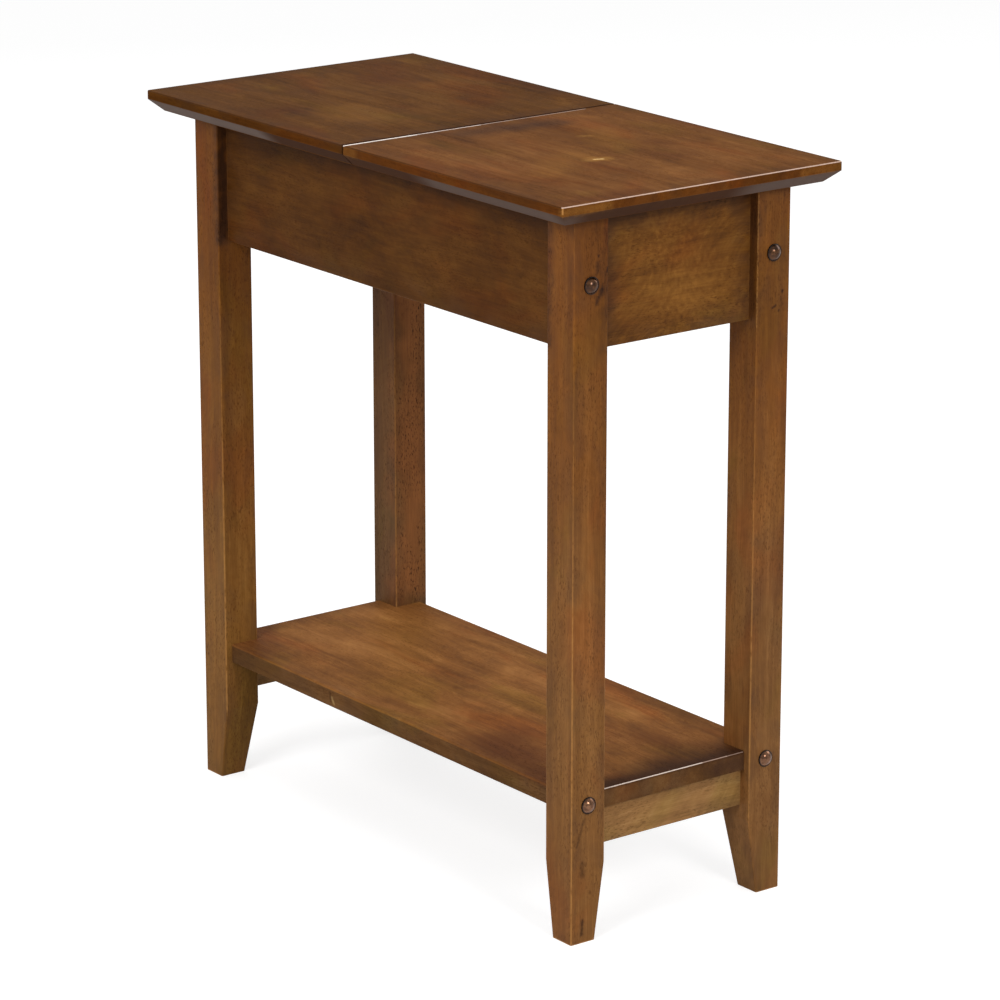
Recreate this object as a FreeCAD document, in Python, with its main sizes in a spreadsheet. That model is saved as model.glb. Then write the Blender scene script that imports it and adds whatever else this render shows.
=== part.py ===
import FreeCAD, Part
import math
import os
import re

import Sketcher

# A narrow lift top end table, in millimetres. X is its width, Y its depth with the lift lid at the
# -Y end, Z is up, and the origin is on the floor under the middle of the top.

doc = FreeCAD.newDocument("lift_top_end_table")

# ---------------------------------------------------------------------------------------------
# Driving dimensions
# ---------------------------------------------------------------------------------------------

SIZES = {
    # the whole table and its top
    "table_height": 610,
    "top_width": 279,
    "top_depth": 572,
    "top_thickness": 17.5,
    "top_edge_face": 7.5,
    "top_bevel_run": 10.5,
    "top_arris": 1.2,
    "lid_depth": 286,
    "split_gap": 1.3,
    "lid_seat_gap": 0.3,
    # legs
    "leg_width": 33.5,
    "leg_inset_side": 31,
    "leg_inset_end": 25,
    "leg_arris": 1.2,
    "foot_width": 24,
    "foot_taper_height": 64.5,
    # aprons, lower rails and shelf
    "apron_height": 108.5,
    "apron_thickness": 14,
    "rail_height": 32,
    "rail_thickness": 12,
    "board_arris": 0.8,
    "shelf_top_height": 123.5,
    "shelf_thickness": 16,
    "shelf_reveal": 6.5,
    "shelf_arris": 1.5,
    "notch_clearance": 0.3,
    # storage box under the lid
    "floor_thickness": 5,
    "floor_rise": 8,
    "groove_depth": 5,
    "panel_clearance": 0.2,
    "divider_thickness": 12,
    "divider_setback": 2,
    # bolts and barrel nuts
    "bolt_diameter": 6,
    "bolt_rim_diameter": 14,
    "bolt_rim_height": 1,
    "bolt_dome_diameter": 13,
    "bolt_dome_height": 3.6,
    "bolt_clearance": 0.25,
    "bolt_past_nut": 7,
    "nut_diameter": 10,
    "nut_length": 10,
    "nut_setback": 22,
    "nut_clearance": 0.1,
    # dowels
    "dowel_diameter": 8,
    "dowel_length": 32,
    "small_dowel_diameter": 6,
    "small_dowel_length": 26,
    "divider_dowel_length": 20,
    "dowel_clearance": 0.1,
    "end_dowel_spread": 34,
    "side_dowel_spread": 20,
    "rail_dowel_spread": 8,
    "divider_dowel_spread": 36,
    # cleats and screws that hold the fixed half of the top
    "cleat_width": 18,
    "cleat_end_gap": 8,
    "cleat_screw_inset": 28,
    "top_screw_inset": 63,
    "screw_diameter": 4,
    "screw_head_diameter": 8,
    "screw_bite": 10,
    "screw_clearance": 0.1,
    # concealed hinges with curved links
    "hinge_inset": 64.5,
    "leaf_cover": 2.4,
    "leaf_height": 12,
    "leaf_length": 56,
    "leaf_plate_thickness": 1.5,
    "leaf_depth": 13.5,
    "leaf_cheek": 2,
    "mortise_clearance": 0.1,
    "link_radius": 10.9,
    "link_thickness": 2.4,
    "link_width": 20,
    "link_half_span": 66,
    "link_lug_width": 2,
    "link_lug_angle": 5,
    "slot_clearance": 0.2,
    "slot_end_angle": 1.5,
    "hinge_screw_offset": 21,
    "hinge_screw_diameter": 3,
    "hinge_screw_head_diameter": 5.6,
    "hinge_screw_length": 16,
    # lid bumpers
    "bumper_diameter": 8,
    "bumper_height": 1.5,
    "bumper_clearance": 0.1,
}

sheet = doc.addObject("Spreadsheet::Sheet", "sizes")
for row, (alias, value) in enumerate(SIZES.items(), start=1):
    sheet.set("A%d" % row, alias)
    sheet.set("B%d" % row, str(value))
    sheet.setAlias("B%d" % row, alias)
doc.recompute()

# Places that follow from the driving dimensions, as expressions
FRAME_TOP = "(table_height - top_thickness)"
LID_UNDERSIDE = "(table_height - top_thickness + lid_seat_gap)"
SPLIT = "(lid_depth - top_depth / 2)"
FIXED_EDGE = "(%s + split_gap / 2)" % SPLIT
LID_EDGE = "(%s - split_gap / 2)" % SPLIT
LEG_OUT_X = "(top_width / 2 - leg_inset_side)"
LEG_OUT_Y = "(top_depth / 2 - leg_inset_end)"
LEG_IN_X = "(%s - leg_width)" % LEG_OUT_X
LEG_IN_Y = "(%s - leg_width)" % LEG_OUT_Y
LEG_MID_X = "(%s - leg_width / 2)" % LEG_OUT_X
LEG_MID_Y = "(%s - leg_width / 2)" % LEG_OUT_Y
APRON_BOTTOM = "(%s - apron_height)" % FRAME_TOP
APRON_MID = "(%s - apron_height / 2)" % FRAME_TOP
INSIDE_X = "(%s - apron_thickness / 2)" % LEG_MID_X
INSIDE_Y = "(%s - apron_thickness / 2)" % LEG_MID_Y
SHELF_BOTTOM = "(shelf_top_height - shelf_thickness)"
SHELF_MID = "(shelf_top_height - shelf_thickness / 2)"
RAIL_BOTTOM = "(%s - rail_height)" % SHELF_BOTTOM
RAIL_MID = "(%s - rail_height / 2)" % SHELF_BOTTOM
DIVIDER_FRONT = "(%s + divider_setback)" % FIXED_EDGE
DIVIDER_BACK = "(%s + divider_thickness)" % DIVIDER_FRONT
DIVIDER_MID = "(%s + divider_thickness / 2)" % DIVIDER_FRONT
FLOOR_BOTTOM = "(%s + floor_rise)" % APRON_BOTTOM
FLOOR_TOP = "(%s + floor_thickness)" % FLOOR_BOTTOM
CLEAT_FRONT = "(%s + cleat_end_gap)" % DIVIDER_BACK
CLEAT_REAR = "(%s - cleat_end_gap)" % LEG_IN_Y
CLEAT_MID_X = "(%s - cleat_width / 2)" % INSIDE_X
CLEAT_MID_Z = "(%s - cleat_width / 2)" % FRAME_TOP
HINGE_MID_X = "(top_width / 2 - hinge_inset)"
LEAF_TOP = "(table_height - leaf_cover)"
LEAF_MID = "(%s - leaf_height / 2)" % LEAF_TOP
LEAF_BODY_WIDTH = "(link_width + 2 * link_lug_width + 2 * slot_clearance + 2 * leaf_cheek)"
SLOT_INNER = "(link_radius - link_thickness / 2 - slot_clearance)"
SLOT_OUTER = "(link_radius + link_thickness / 2 + slot_clearance)"
BOLT_HOLE = "(bolt_diameter / 2 + bolt_clearance)"
DOWEL_HOLE = "(dowel_diameter / 2 + dowel_clearance)"
SMALL_DOWEL_HOLE = "(small_dowel_diameter / 2 + dowel_clearance)"
SCREW_HOLE = "(screw_diameter / 2 + screw_clearance)"
HINGE_SCREW_HOLE = "(hinge_screw_diameter / 2 + screw_clearance)"
NUT_HOLE = "(nut_diameter / 2 + nut_clearance)"
NUT_Y = "(%s - nut_setback)" % LEG_IN_Y


def spread(middle, reach):
    """Two places, one on each side of the middle."""
    return ["(%s - %s)" % (middle, reach), "(%s + %s)" % (middle, reach)]


def inset(low, high, distance):
    """Two places, each the distance in from one end of a length."""
    return ["(%s + %s)" % (low, distance), "(%s - %s)" % (high, distance)]


END_DOWEL_HEIGHTS = spread(APRON_MID, "end_dowel_spread")
SIDE_DOWEL_HEIGHTS = spread(APRON_MID, "side_dowel_spread")
RAIL_DOWEL_HEIGHTS = spread(RAIL_MID, "rail_dowel_spread")
DIVIDER_DOWEL_HEIGHTS = spread(APRON_MID, "divider_dowel_spread")
CLEAT_SCREW_YS = inset(CLEAT_FRONT, CLEAT_REAR, "cleat_screw_inset")
TOP_SCREW_YS = inset(CLEAT_FRONT, CLEAT_REAR, "top_screw_inset")

# The four corners: X is negative on the left, and Y at the front
SIDES = ((-1, "left"), (1, "right"))
ENDS = ((-1, "front"), (1, "rear"))
CORNERS = [(side, end) for side, _ in SIDES for end, _ in ENDS]

# ---------------------------------------------------------------------------------------------
# Helpers: expressions, sketches, pads and pockets
# ---------------------------------------------------------------------------------------------

WORD = re.compile(r"[a-z]+(?:_[a-z]+)+")
NORMAL_SIGN = {"XY": 1, "XZ": -1, "YZ": 1}


def bound(expression):
    """The expression with each size's name pointing at its cell in the sheet."""
    return WORD.sub(lambda word: "sizes." + word.group(), str(expression))


def number(expression):
    return float(sheet.evalExpression(bound(expression)))


def negative(expression):
    return "(-1 * %s)" % expression


def signed(sign, expression):
    return expression if sign > 0 else negative(expression)


def span(sign, near_end, far_end):
    """A range on the positive side of an axis, or its mirror image, low end first."""
    return (near_end, far_end) if sign > 0 else (negative(far_end), negative(near_end))


def stretch(start, sign, length):
    """The range that leaves start in the sign's direction for the length, low end first."""
    end = "(%s + %d * %s)" % (start, sign, length)
    return (start, end) if sign > 0 else (end, start)


def about(middle, width):
    return "(%s - %s / 2)" % (middle, width), "(%s + %s / 2)" % (middle, width)


def new_body(label):
    body = doc.addObject("PartDesign::Body", label)
    body.Label = label
    return body


def new_sketch(body, plane, height):
    """A sketch on one of the body's own planes, moved along that plane's axis to the height."""
    sketch = body.newObject("Sketcher::SketchObject", "%s_sketch" % body.Name)
    role = plane + "_Plane"
    origin_plane = [f for f in body.Origin.OriginFeatures if f.Role == role][0]
    sketch.AttachmentSupport = [(origin_plane, "")]
    sketch.MapMode = "FlatFace"
    sketch.setExpression("AttachmentOffset.Base.z", bound("%d * %s" % (NORMAL_SIGN[plane], height)))
    return sketch


def hold(sketch, kind, place, expression):
    """A named distance or radius constraint that follows the sheet."""
    index = sketch.addConstraint(Sketcher.Constraint(kind, *place, number(expression)))
    sketch.setExpression("Constraints[%d]" % index, bound(expression))


def draw_outline(sketch, corners):
    """A closed outline of straight edges through the corners."""
    points = [FreeCAD.Vector(number(u), number(v), 0) for u, v in corners]
    first = sketch.GeometryCount
    count = len(points)
    for i in range(count):
        sketch.addGeometry(Part.LineSegment(points[i], points[(i + 1) % count]), False)
    for i in range(count):
        after = first + (i + 1) % count
        sketch.addConstraint(Sketcher.Constraint("Coincident", first + i, 2, after, 1))
    for i, (u, v) in enumerate(corners):
        hold(sketch, "DistanceX", (first + i, 1), u)
        hold(sketch, "DistanceY", (first + i, 1), v)


def draw_rectangle(sketch, low_u, high_u, low_v, high_v):
    draw_outline(sketch, [(low_u, low_v), (high_u, low_v), (high_u, high_v), (low_u, high_v)])


def draw_circle(sketch, u, v, radius):
    centre = FreeCAD.Vector(number(u), number(v), 0)
    circle = Part.Circle(centre, FreeCAD.Vector(0, 0, 1), number(radius))
    index = sketch.addGeometry(circle, False)
    hold(sketch, "DistanceX", (index, 3), u)
    hold(sketch, "DistanceY", (index, 3), v)
    hold(sketch, "Radius", (index,), radius)


def extrude(body, plane, low, high, draw, cut=False):
    """Pads what draw() puts in a sketch from low to high along the plane's axis, or cuts it away."""
    start = low if NORMAL_SIGN[plane] > 0 else high
    sketch = new_sketch(body, plane, start)
    draw(sketch)
    doc.recompute()
    before = body.Shape.Volume if cut else 0.0
    feature = body.newObject("PartDesign::Pocket" if cut else "PartDesign::Pad", body.Name + "_step")
    feature.Profile = sketch
    feature.setExpression("Length", bound("%s - %s" % (high, low)))
    feature.Reversed = cut
    doc.recompute()
    if cut and not body.Shape.Volume < before:
        raise RuntimeError("a pocket in %s cuts nothing" % body.Label)


def board(label, x_range, y_range, z_range):
    """A plain rectangular board as a body with one pad."""
    body = new_body(label)
    extrude(body, "XY", *z_range, lambda s: draw_rectangle(s, *x_range, *y_range))
    return body


def bore(body, plane, low, high, places, radius):
    """Round holes along the plane's axis from low to high, at each place in the plane."""

    def draw(sketch):
        for u, v in places:
            draw_circle(sketch, u, v, radius)

    extrude(body, plane, low, high, draw, cut=True)


def cut_box(body, x_range, y_range, z_range):
    extrude(body, "XY", *z_range, lambda s: draw_rectangle(s, *x_range, *y_range), cut=True)


def soften(body, wanted, size, kind="Fillet"):
    """Rounds or chamfers the edges that wanted(edge) picks."""
    base = body.Tip
    names = ["Edge%d" % (i + 1) for i, edge in enumerate(base.Shape.Edges) if wanted(edge)]
    feature = body.newObject("PartDesign::" + kind, "%s_%s" % (body.Name, kind.lower()))
    feature.Base = (base, names)
    feature.setExpression("Radius" if kind == "Fillet" else "Size", bound(size))
    doc.recompute()


def near(value, target):
    return abs(value - target) < 0.01


def cylinder(axis, start, end, u, v, radius):
    """A round bar along X, Y or Z from start to end, at (u, v) on the other two axes."""
    bar = doc.addObject("Part::Cylinder", "bar")
    bar.setExpression("Radius", bound(radius))
    bar.setExpression("Height", bound("%s - %s" % (end, start)))
    set_place(bar, axis, start, u, v, turned_along(axis, 1))
    return bar


def set_place(piece, axis, along, u, v, turn):
    places = {"X": (along, u, v), "Y": (u, along, v), "Z": (u, v, along)}[axis]
    piece.Placement = FreeCAD.Placement(FreeCAD.Vector(), turn)
    for letter, place in zip("xyz", places):
        piece.setExpression("Placement.Base." + letter, bound(place))


def turned_along(axis, sign):
    """The turn that points a piece's own +Z along the axis, or against it."""
    if axis == "X":
        return FreeCAD.Rotation(FreeCAD.Vector(0, 1, 0), 90 * sign)
    if axis == "Y":
        return FreeCAD.Rotation(FreeCAD.Vector(1, 0, 0), -90 * sign)
    return FreeCAD.Rotation(FreeCAD.Vector(1, 0, 0), 0 if sign > 0 else 180)


def group(label, pieces):
    """Separate solids that share one node."""
    together = doc.addObject("Part::Compound", label)
    together.Links = pieces
    together.Label = label
    return together


def joined(name, *pieces):
    fused = doc.addObject("Part::MultiFuse", name)
    fused.Shapes = list(pieces)
    return fused


def countersunk_screw(axis, sign, head, tip_length, u, v, diameter, head_diameter):
    """A flat-head screw whose head face is at head and whose tip points along sign * axis."""
    cone_height = "((%s - %s) / 2)" % (head_diameter, diameter)
    cone = doc.addObject("Part::Cone", "screw_head")
    cone.setExpression("Radius1", bound("%s / 2" % head_diameter))
    cone.setExpression("Radius2", bound("%s / 2" % diameter))
    cone.setExpression("Height", bound(cone_height))
    set_place(cone, axis, head, u, v, turned_along(axis, sign))
    shank = doc.addObject("Part::Cylinder", "screw_shank")
    shank.setExpression("Radius", bound("%s / 2" % diameter))
    shank.setExpression("Height", bound("%s - %s" % (tip_length, cone_height)))
    seat = "(%s + %d * %s)" % (head, sign, cone_height)
    set_place(shank, axis, seat, u, v, turned_along(axis, sign))
    return joined("screw", cone, shank)


# ---------------------------------------------------------------------------------------------
# Top: a fixed half and a lift lid, each with a vertical edge band and a bevel under it
# ---------------------------------------------------------------------------------------------

def top_half(label, outer_sign, edge, underside):
    """Half of the top. Its outer end is on the outer_sign side of Y and its inner edge at the split."""
    outer = signed(outer_sign, "(top_depth / 2)")
    y_range = (outer, edge) if outer_sign < 0 else (edge, outer)
    half_width = "(top_width / 2)"
    band_bottom = "(table_height - top_edge_face)"
    inner_width = "(%s - top_bevel_run)" % half_width
    body = new_body(label)

    def draw_section(sketch):
        draw_outline(sketch, [
            (negative(inner_width), underside),
            (inner_width, underside),
            (half_width, band_bottom),
            (half_width, "table_height"),
            (negative(half_width), "table_height"),
            (negative(half_width), band_bottom),
        ])

    extrude(body, "XZ", *y_range, draw_section)

    def draw_end_bevel(sketch):
        run_end = "(%s - %d * top_bevel_run)" % (outer, outer_sign)
        draw_outline(sketch, [(outer, band_bottom), (run_end, underside), (outer, underside)])

    extrude(body, "YZ", negative(half_width), half_width, draw_end_bevel, cut=True)
    height, depth, half = number("table_height"), number(outer), number(half_width)

    def is_arris(line):
        centre = line.BoundBox.Center
        at_corner = near(abs(centre.x), half) and near(centre.y, depth)
        return near(centre.z, height) or at_corner

    soften(body, is_arris, "top_arris")
    for side, _ in SIDES:
        cut_hinge_mortise(body, side, edge, outer_sign)
    return body


def cut_hinge_mortise(body, side, edge, into):
    """The stepped recess for one hinge leaf in a half's inner edge, with its two screw pilots."""
    centre = signed(side, HINGE_MID_X)
    half_body = "(%s / 2 + mortise_clearance)" % LEAF_BODY_WIDTH

    def draw_plate_seat(sketch):
        draw_stadium(sketch, centre, LEAF_MID, "leaf_length", "leaf_height", "mortise_clearance")

    def draw_body_seat(sketch):
        draw_rectangle(
            sketch,
            "(%s - %s)" % (centre, half_body),
            "(%s + %s)" % (centre, half_body),
            "(%s - leaf_height - mortise_clearance)" % LEAF_TOP,
            "(%s + mortise_clearance)" % LEAF_TOP,
        )

    plate_seat = stretch(edge, into, "(leaf_plate_thickness + mortise_clearance)")
    body_seat = stretch(edge, into, "(leaf_depth - split_gap / 2 + mortise_clearance)")
    pilot = stretch(edge, into, "(hinge_screw_length + mortise_clearance)")
    places = [("(%s + %d * hinge_screw_offset)" % (centre, end), LEAF_MID) for end in (-1, 1)]
    extrude(body, "XZ", *plate_seat, draw_plate_seat, cut=True)
    extrude(body, "XZ", *body_seat, draw_body_seat, cut=True)
    bore(body, "XZ", *pilot, places, HINGE_SCREW_HOLE)


def draw_stadium(sketch, centre_u, centre_v, length, height, margin):
    """A slot-shaped outline with round ends, grown all round by the margin."""
    radius = "(%s / 2 + %s)" % (height, margin)
    reach = "(%s / 2 - %s / 2)" % (length, height)
    left_u = "(%s - %s)" % (centre_u, reach)
    right_u = "(%s + %s)" % (centre_u, reach)
    top_v = "(%s + %s)" % (centre_v, radius)
    bottom_v = "(%s - %s)" % (centre_v, radius)
    middle, r = number(centre_v), number(radius)
    left, right = number(left_u), number(right_u)
    first = sketch.GeometryCount
    up = FreeCAD.Vector(0, 0, 1)
    right_end = Part.Circle(FreeCAD.Vector(right, middle, 0), up, r)
    left_end = Part.Circle(FreeCAD.Vector(left, middle, 0), up, r)
    quarter = math.pi / 2
    sketch.addGeometry([
        Part.LineSegment(FreeCAD.Vector(left, middle - r, 0), FreeCAD.Vector(right, middle - r, 0)),
        Part.ArcOfCircle(right_end, -quarter, quarter),
        Part.LineSegment(FreeCAD.Vector(right, middle + r, 0), FreeCAD.Vector(left, middle + r, 0)),
        Part.ArcOfCircle(left_end, quarter, 3 * quarter),
    ], False)
    for line, line_end, arc, arc_end in ((0, 2, 1, 1), (2, 1, 1, 2), (2, 2, 3, 1), (0, 1, 3, 2)):
        joint = Sketcher.Constraint("Coincident", first + line, line_end, first + arc, arc_end)
        sketch.addConstraint(joint)
    for line, u, v in ((0, left_u, bottom_v), (2, right_u, top_v)):
        hold(sketch, "DistanceX", (first + line, 1), u)
        hold(sketch, "DistanceY", (first + line, 1), v)
    hold(sketch, "DistanceX", (first, 2), right_u)
    hold(sketch, "DistanceY", (first, 2), bottom_v)
    hold(sketch, "DistanceX", (first + 2, 2), left_u)
    hold(sketch, "DistanceY", (first + 2, 2), top_v)
    hold(sketch, "DistanceX", (first + 1, 3), right_u)
    hold(sketch, "DistanceX", (first + 3, 3), left_u)


fixed_top = top_half("fixed_top", 1, FIXED_EDGE, FRAME_TOP)
TOP_SCREW_PLACES = [(signed(side, CLEAT_MID_X), y) for side, _ in SIDES for y in TOP_SCREW_YS]
top_screw_pilots = (FRAME_TOP, "(%s + screw_bite + screw_clearance)" % FRAME_TOP)
bore(fixed_top, "XY", *top_screw_pilots, TOP_SCREW_PLACES, SCREW_HOLE)
top_half("lift_lid", -1, LID_EDGE, LID_UNDERSIDE)

# ---------------------------------------------------------------------------------------------
# Legs: square posts whose two inner faces taper to a small foot
# ---------------------------------------------------------------------------------------------


def leg(label, side, end):
    """The leg at the side's end of X and the end's end of Y."""
    x_range, y_range = span(side, LEG_IN_X, LEG_OUT_X), span(end, LEG_IN_Y, LEG_OUT_Y)
    in_x, in_y = signed(side, LEG_IN_X), signed(end, LEG_IN_Y)
    mid_x, mid_y = signed(side, LEG_MID_X), signed(end, LEG_MID_Y)
    body = board(label, x_range, y_range, ("0", FRAME_TOP))

    def wedge(inner, foot):
        return lambda sketch: draw_outline(
            sketch, [(inner, "0"), (foot, "0"), (inner, "foot_taper_height")]
        )

    foot_x = signed(side, "(%s - foot_width)" % LEG_OUT_X)
    foot_y = signed(end, "(%s - foot_width)" % LEG_OUT_Y)
    extrude(body, "XZ", *y_range, wedge(in_x, foot_x), cut=True)
    extrude(body, "YZ", *x_range, wedge(in_y, foot_y), cut=True)
    soften(body, lambda line: line.BoundBox.ZLength > 1, "leg_arris")
    dowel_depth = "(dowel_length / 2 + dowel_clearance)"
    small_depth = "(small_dowel_length / 2 + dowel_clearance)"
    bolts = [(mid_x, APRON_MID), (mid_x, SHELF_MID)]
    end_dowels = [(mid_y, z) for z in END_DOWEL_HEIGHTS]
    side_dowels = [(mid_x, z) for z in SIDE_DOWEL_HEIGHTS]
    rail_dowels = [(mid_y, z) for z in RAIL_DOWEL_HEIGHTS]
    bore(body, "XZ", *y_range, bolts, BOLT_HOLE)
    bore(body, "YZ", *stretch(in_x, side, dowel_depth), end_dowels, DOWEL_HOLE)
    bore(body, "XZ", *stretch(in_y, end, dowel_depth), side_dowels, DOWEL_HOLE)
    bore(body, "YZ", *stretch(in_x, side, small_depth), rail_dowels, SMALL_DOWEL_HOLE)
    return body


BUMPER_SEAT = "(%s - bumper_height)" % LID_UNDERSIDE
for side, side_name in SIDES:
    leg("leg_rear_" + side_name, side, 1)
    front_leg = leg("leg_front_" + side_name, side, -1)
    bumper_place = (signed(side, LEG_MID_X), negative(LEG_MID_Y))
    bumper_hole = "(bumper_diameter / 2 + bumper_clearance)"
    bore(front_leg, "XY", BUMPER_SEAT, FRAME_TOP, [bumper_place], bumper_hole)

# ---------------------------------------------------------------------------------------------
# Aprons and lower rails
# ---------------------------------------------------------------------------------------------

GROOVE_Z = (
    "(%s - panel_clearance / 2)" % FLOOR_BOTTOM,
    "(%s + panel_clearance / 2)" % FLOOR_TOP,
)
GROOVE_END = "(%s + groove_depth)" % DIVIDER_FRONT


def ease_bottom(body, bottom, along):
    """Rounds the two long bottom arrises of a board that runs along X or Y."""
    low = number(bottom)

    def is_bottom_arris(line):
        box = line.BoundBox
        length = box.XLength if along == "X" else box.YLength
        return near(box.ZMax, low) and length > 1

    soften(body, is_bottom_arris, "board_arris")


def cross_piece(label, end, thickness, z_range, dowel_heights, dowel_length, dowel_hole):
    """A board between the two legs at one end of the table, with dowel holes in both its ends."""
    mid_y = signed(end, LEG_MID_Y)
    body = board(label, (negative(LEG_IN_X), LEG_IN_X), about(mid_y, thickness), z_range)
    ease_bottom(body, z_range[0], "X")
    hole_depth = "(%s / 2 + dowel_clearance)" % dowel_length
    places = [(mid_y, z) for z in dowel_heights]
    for side, _ in SIDES:
        bore(body, "YZ", *stretch(signed(side, LEG_IN_X), -side, hole_depth), places, dowel_hole)
    return body


for end, end_name in ENDS:
    apron = cross_piece(
        end_name + "_apron", end, "apron_thickness", (APRON_BOTTOM, FRAME_TOP),
        END_DOWEL_HEIGHTS, "dowel_length", DOWEL_HOLE,
    )
    if end_name == "front":
        groove_y = stretch(negative(INSIDE_Y), -1, "groove_depth")
        cut_box(apron, (negative(LEG_IN_X), LEG_IN_X), groove_y, GROOVE_Z)
    cross_piece(
        end_name + "_lower_rail", end, "rail_thickness", (RAIL_BOTTOM, SHELF_BOTTOM),
        RAIL_DOWEL_HEIGHTS, "small_dowel_length", SMALL_DOWEL_HOLE,
    )


def side_apron(label, side):
    """A long apron between the legs on one side, bolted and dowelled at both ends."""
    mid_x, inner_face = signed(side, LEG_MID_X), signed(side, INSIDE_X)
    x_range = about(mid_x, "apron_thickness")
    body = board(label, x_range, (negative(LEG_IN_Y), LEG_IN_Y), (APRON_BOTTOM, FRAME_TOP))
    ease_bottom(body, APRON_BOTTOM, "Y")
    groove_x = stretch(inner_face, side, "groove_depth")
    cut_box(body, groove_x, (negative(LEG_IN_Y), GROOVE_END), GROOVE_Z)
    bolt_depth = "(nut_setback + bolt_past_nut + bolt_clearance)"
    dowel_depth = "(dowel_length / 2 + dowel_clearance)"
    side_dowels = [(mid_x, z) for z in SIDE_DOWEL_HEIGHTS]
    for end, _ in ENDS:
        end_face = signed(end, LEG_IN_Y)
        bore(body, "XZ", *stretch(end_face, -end, bolt_depth), [(mid_x, APRON_MID)], BOLT_HOLE)
        bore(body, "XZ", *stretch(end_face, -end, dowel_depth), side_dowels, DOWEL_HOLE)
    nut_depth = "(apron_thickness / 2 + nut_length / 2 + nut_clearance)"
    divider_depth = "(divider_dowel_length / 2 + dowel_clearance)"
    screw_depth = "(screw_bite + screw_clearance)"
    nuts = [(signed(end, NUT_Y), APRON_MID) for end, _ in ENDS]
    divider_dowels = [(DIVIDER_MID, z) for z in DIVIDER_DOWEL_HEIGHTS]
    screws = [(y, CLEAT_MID_Z) for y in CLEAT_SCREW_YS]
    bore(body, "YZ", *stretch(inner_face, side, nut_depth), nuts, NUT_HOLE)
    bore(body, "YZ", *stretch(inner_face, side, divider_depth), divider_dowels, SMALL_DOWEL_HOLE)
    bore(body, "YZ", *stretch(inner_face, side, screw_depth), screws, SCREW_HOLE)


for side, side_name in SIDES:
    side_apron(side_name + "_apron", side)

# ---------------------------------------------------------------------------------------------
# Storage box under the lid: divider and floor panel
# ---------------------------------------------------------------------------------------------

divider_x = (negative(INSIDE_X), INSIDE_X)
divider = board("divider", divider_x, (DIVIDER_FRONT, DIVIDER_BACK), (APRON_BOTTOM, FRAME_TOP))
cut_box(divider, divider_x, (DIVIDER_FRONT, GROOVE_END), GROOVE_Z)
for side, _ in SIDES:
    hole_x = stretch(signed(side, INSIDE_X), -side, "(divider_dowel_length / 2 + dowel_clearance)")
    hole_places = [(DIVIDER_MID, z) for z in DIVIDER_DOWEL_HEIGHTS]
    bore(divider, "YZ", *hole_x, hole_places, SMALL_DOWEL_HOLE)

# The floor panel lies in the grooves and is notched round the front legs
PANEL_REACH = "(groove_depth - panel_clearance)"
PANEL_X = "(%s + %s)" % (INSIDE_X, PANEL_REACH)
PANEL_FRONT = negative("(%s + %s)" % (INSIDE_Y, PANEL_REACH))
PANEL_BACK = "(%s + %s)" % (DIVIDER_FRONT, PANEL_REACH)
PANEL_Z = (FLOOR_BOTTOM, FLOOR_TOP)
storage_floor = board("storage_floor", (negative(PANEL_X), PANEL_X), (PANEL_FRONT, PANEL_BACK), PANEL_Z)
for side, _ in SIDES:
    notch_x = span(side, "(%s - notch_clearance)" % LEG_IN_X, PANEL_X)
    notch_y = (PANEL_FRONT, negative("(%s - notch_clearance)" % LEG_IN_Y))
    cut_box(storage_floor, notch_x, notch_y, PANEL_Z)

# ---------------------------------------------------------------------------------------------
# Shelf, notched round the legs
# ---------------------------------------------------------------------------------------------

SHELF_X = "(%s - shelf_reveal)" % LEG_OUT_X
SHELF_Y = "(%s - shelf_reveal)" % LEG_OUT_Y
SHELF_Z = (SHELF_BOTTOM, "shelf_top_height")
shelf = board("shelf", (negative(SHELF_X), SHELF_X), (negative(SHELF_Y), SHELF_Y), SHELF_Z)
for side, end in CORNERS:
    notch_x = span(side, "(%s - notch_clearance)" % LEG_IN_X, SHELF_X)
    cut_box(shelf, notch_x, span(end, LEG_IN_Y, SHELF_Y), SHELF_Z)


def is_shelf_arris(line):
    centre = line.BoundBox.Center
    outside = near(abs(centre.x), number(SHELF_X)) or near(abs(centre.y), number(SHELF_Y))
    return outside and near(centre.z, number("shelf_top_height"))


soften(shelf, is_shelf_arris, "shelf_arris")
for end, _ in ENDS:
    bolt_y = stretch(signed(end, LEG_IN_Y), -end, "(nut_setback + bolt_past_nut + bolt_clearance)")
    bolt_places = [(signed(side, LEG_MID_X), SHELF_MID) for side, _ in SIDES]
    bore(shelf, "XZ", *bolt_y, bolt_places, BOLT_HOLE)
nut_z = (SHELF_BOTTOM, "(%s + nut_length / 2 + nut_clearance)" % SHELF_MID)
nut_places = [(signed(side, LEG_MID_X), signed(end, NUT_Y)) for side, end in CORNERS]
bore(shelf, "XY", *nut_z, nut_places, NUT_HOLE)

# ---------------------------------------------------------------------------------------------
# Cleats that carry the fixed half's screws
# ---------------------------------------------------------------------------------------------


def cleat(label, side):
    x_range = span(side, "(%s - cleat_width)" % INSIDE_X, INSIDE_X)
    z_range = ("(%s - cleat_width)" % FRAME_TOP, FRAME_TOP)
    body = board(label, x_range, (CLEAT_FRONT, CLEAT_REAR), z_range)
    top_screws = [(u, v) for u, v in TOP_SCREW_PLACES if number(u) * side > 0]
    bore(body, "XY", *z_range, top_screws, SCREW_HOLE)
    bore(body, "YZ", *x_range, [(y, CLEAT_MID_Z) for y in CLEAT_SCREW_YS], SCREW_HOLE)
    under, inside = number(z_range[0]), number(signed(side, "(%s - cleat_width)" % INSIDE_X))

    def is_screw_rim(edge):
        centre = edge.BoundBox.Center
        return edge.isClosed() and (near(centre.z, under) or near(centre.x, inside))

    soften(body, is_screw_rim, "(screw_head_diameter / 2 - screw_diameter / 2)", kind="Chamfer")


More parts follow.
